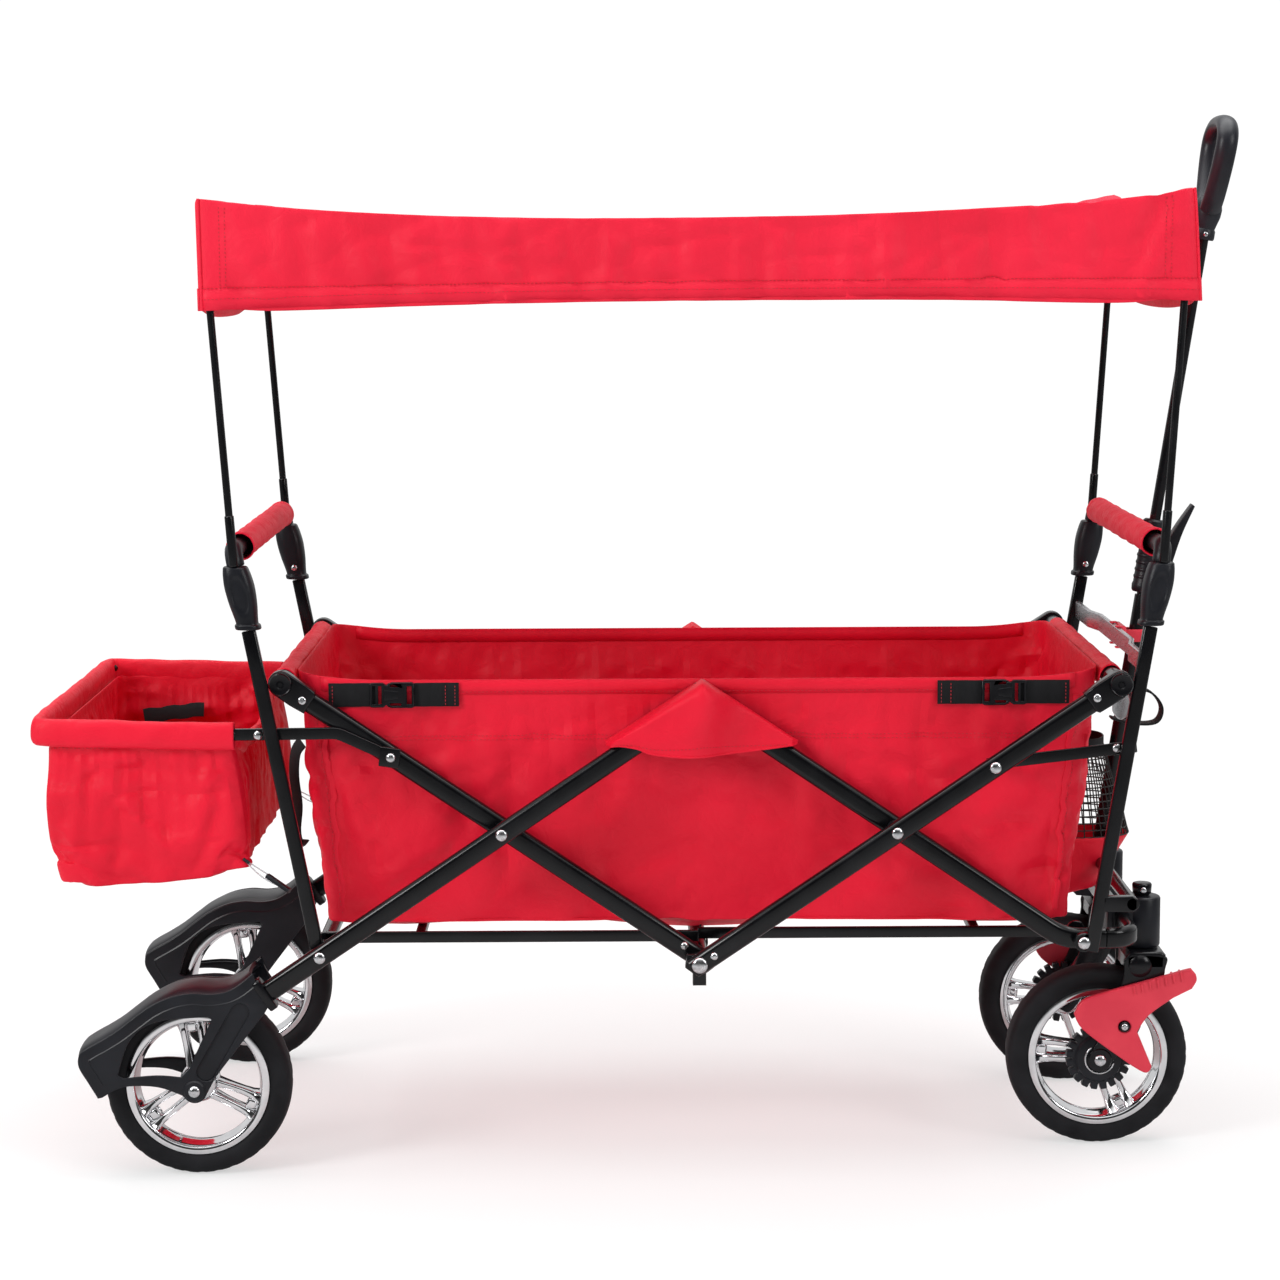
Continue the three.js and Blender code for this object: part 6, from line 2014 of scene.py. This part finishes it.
def front_pocket():
    """Cup pocket on the tub's front wall: mesh above, red cloth below."""
    wall = TUB_TOP_X - 2
    half, top, seam, bottom = 44, 421, 318, 250

    def skin(u, v, z_low, z_high, radius_low, radius_high):
        a = math.radians(-90 + 180 * u)
        z = z_low + (z_high - z_low) * v
        reach = radius_low + (radius_high - radius_low) * v
        bulge = 1.5 * rough((0, half * math.sin(a), z), 24, 15)
        lean = (TUB_FLOOR_X + (TUB_TOP_X - TUB_FLOOR_X) * (z - TUB_LOW[2]) / (TUB_HIGH[2] - TUB_LOW[2]))
        return (max(lean, TUB_FLOOR_X) + (reach + bulge) * math.cos(a) ** 0.7 + 1.5, half * math.sin(a), z)

    cloth = grid(lambda u, v: skin(u, v, bottom + 10, seam, 58, 88), 36, 16)
    base = grid(lambda u, v: tuple(np.array(skin(u, 0, bottom + 10, seam, 58, 88)) * np.array([1, 1, 0])
                                   + np.array([-(1 - v) * 40 * math.sin(math.pi * u), 0, bottom + 4 + 6 * v])), 36, 6)
    build("front_pocket_cloth", weld(cloth + base, 0.2), RED_CLOTH, "cargo_tub", thickness=1.2,
          squash=TUB_SQUASH)
    rim = [skin(u, 1, seam, top, 88, 46) for u in np.linspace(0, 1, 50)]
    build("front_pocket_rim", strap([(x + 0.4, y, z) for x, y, z in rim], 14, (0, 0, 1), 2.0), WEBBING, "cargo_tub",
          squash=TUB_SQUASH)
    threads = Geo([], [])
    rows, columns = 13, 26
    for j in range(rows + 1):
        path = [skin(u, j / rows, seam, top, 88, 46) for u in np.linspace(0, 1, 30)]
        threads = threads + sweep(path, round_section(0.8, 5), (0, 0, 1))
    for i in range(columns + 1):
        path = [skin(i / columns, v, seam, top, 88, 46) for v in np.linspace(0, 1, 14)]
        threads = threads + sweep(path, round_section(0.8, 5), (0, 1, 0))
    build("front_pocket_mesh", threads, MESH_THREAD, "cargo_tub", squash=TUB_SQUASH)


def rear_brackets():
    """Silver bent bracket from each rear side tube to the tub's lower corner."""
    x, z = REAR_FOOT[0], REAR_FOOT[2]
    outline = [(x + 2, z + 6), (x - 24, z - 30), (x - 17, z - 34), (x + 14, z + 2)]
    shape = Geo([], [])
    for _, side in SIDES:
        shape = shape + plate([outline], side * (INNER_Y - 12), side * (INNER_Y - 9.6), 0.8)
    build("rear_foot_brackets", shape, SILVER, "rear_leg")


def hub_straps():
    """Short strap from the tub's floor round the lower centre tube."""
    for name, side in SIDES:
        y = side * 150
        ring = [(HUB[0] + 10.6 * math.cos(a), y, HUB[2] + 10.6 * math.sin(a)) for a in np.linspace(-4.4, 1.3, 26)]
        tail = [(ring[-1][0] + 1, y, HUB[2] + 22), (2, y, TUB_LOW[2] + 2)]
        build(f"hub_strap_{name}", strap(ring + tail, 20, (0, 1, 0)), WEBBING, "centre")


# ---------------------------------------------------------------- stage


def camera():
    """The photograph's viewpoint, 3.5 m off the wagon's right side and a little above the canopy."""
    made = bpy.data.cameras.new("camera")
    made.lens = 89.26
    made.sensor_width = 36
    holder = bpy.data.objects.new("camera", made)
    bpy.context.scene.collection.objects.link(holder)
    holder.location = (HUB_X - 0.0734, -3.5043, 0.977)
    pitch, yaw, roll = (math.radians(a) for a in (-7.166, 0.224, -0.2535))
    ahead = Vector((math.sin(yaw) * math.cos(pitch), math.cos(yaw) * math.cos(pitch), math.sin(pitch)))
    right = Vector((math.cos(yaw), -math.sin(yaw), 0))
    up = right.cross(ahead)
    right_rolled = right * math.cos(roll) + up * math.sin(roll)
    up_rolled = -right * math.sin(roll) + up * math.cos(roll)
    holder.rotation_euler = Matrix((right_rolled, up_rolled, -ahead)).transposed().to_euler()
    made.clip_end = 200
    bpy.context.scene.camera = holder


def softbox(name, place, target, width, height, watts):
    light = bpy.data.lights.new(name, "AREA")
    light.shape = "RECTANGLE"
    light.size, light.size_y = width, height
    light.energy = watts
    holder = bpy.data.objects.new(name, light)
    bpy.context.scene.collection.objects.link(holder)
    holder.location = place
    holder.rotation_euler = (Vector(target) - Vector(place)).to_track_quat("-Z", "Y").to_euler()


def studio():
    """White sweep, a big softbox overhead, two at the front, and a darker room behind the camera."""
    floor_mesh = bpy.data.meshes.new("floor")
    reach = 60
    floor_mesh.from_pydata([(-reach, -reach, 0), (reach, -reach, 0), (reach, reach, 0), (-reach, reach, 0)], [],
                           [(0, 1, 2, 3)])
    floor_mesh.materials.append(floor_paint())
    floor = bpy.data.objects.new("floor", floor_mesh)
    bpy.context.scene.collection.objects.link(floor)

    softbox("overhead", (0, 0.3, 3.4), (0, 0, 0), 4.2, 3.2, 125)
    softbox("front_left", (-3.2, -2.6, 2.3), (0, 0, 0.4), 1.4, 1.5, 92)
    softbox("front_right", (3.2, -2.6, 2.2), (0, 0, 0.4), 1.5, 1.7, 44)

    world = bpy.data.worlds.new("studio")
    bpy.context.scene.world = world
    world.use_nodes = True
    tree = world.node_tree
    tree.nodes.clear()

    def node(kind, settings=None, **inputs):
        made = tree.nodes.new(kind)
        for key, value in (settings or {}).items():
            setattr(made, key, value)
        for key, value in inputs.items():
            socket = made.inputs[key.replace("_", " ")] if not key.startswith("at") else made.inputs[int(key[2:])]
            if isinstance(value, bpy.types.NodeSocket):
                tree.links.new(value, socket)
            else:
                socket.default_value = value
        return made

    rays = node("ShaderNodeLightPath").outputs
    way = node("ShaderNodeSeparateXYZ", Vector=node("ShaderNodeTexCoord").outputs["Generated"]).outputs
    behind = node("ShaderNodeMapRange", Value=way[1], From_Min=-0.35, From_Max=0.7, To_Min=0.035, To_Max=0.7)
    above = node("ShaderNodeMapRange", Value=way[2], From_Min=0.45, From_Max=0.8, To_Min=0.0, To_Max=1.3)
    mirrored = node("ShaderNodeMath", {"operation": "MAXIMUM"}, at0=behind.outputs[0], at1=above.outputs[0])
    lit = node("ShaderNodeMix", {"data_type": "FLOAT"}, at0=rays["Is Glossy Ray"], at2=0.46, at3=mirrored.outputs[0])
    seen = node("ShaderNodeMix", {"data_type": "FLOAT"}, at0=rays["Is Camera Ray"], at2=lit.outputs[0], at3=1.05)
    shade = node("ShaderNodeBackground", Color=rgb(1.0, 1.0, 1.0), Strength=seen.outputs[0])
    tree.links.new(shade.outputs[0], node("ShaderNodeOutputWorld").inputs[0])

    settings = bpy.context.scene.view_settings
    settings.view_transform = "Standard"
    settings.look = "None"
    settings.exposure = 0.0
    settings.gamma = 1.0


# ---------------------------------------------------------------- the wagon


def cad_finishes():
    """Every node that is still shown gets the finish of its material slot."""
    finishes = {"black_paint": BLACK_PAINT, "black_plastic": BLACK_PLASTIC, "chrome": CHROME, "tyre": RUBBER,
                "red_fabric": RED_CLOTH, "red_plastic": RED_PLASTIC, "silver_bar": SILVER, "webbing": WEBBING}
    for node in frame["nodes"].values():
        old = node.material_slots[0].material.name if node.material_slots else "black_paint"
        slot = next((name for name in finishes if name in old), "black_paint")
        node.data.materials.clear()
        node.data.materials.append(finishes[slot])


def main():
    cad_finishes()
    crossed_tubes()
    front_cross_tube()
    centre_tube()
    end_rails()
    for name, side in SIDES:
        wheel("rear", name, side, 96, False)
        wheel("front", name, side, 55, True)
        rear_fork(name, side)
        caster_housing(name, side)
        caster_fork(name, side)
        brake_pedal(name, side)
    posts()
    rear_cross_tube()
    floor_braces()
    front_links()
    basket_hoop()
    cross_brace()
    handle_pivot_bar(Post("front"))
    pull_handle()
    tub()
    for name, side in SIDES:
        side_flap(name, side)
        buckle_straps(name, side)
    canopy()
    basket()
    hanging_strap()
    webbing_loop()
    hook_plates()
    front_pocket()
    rear_brackets()
    hub_straps()
    studio()
    camera()


main()
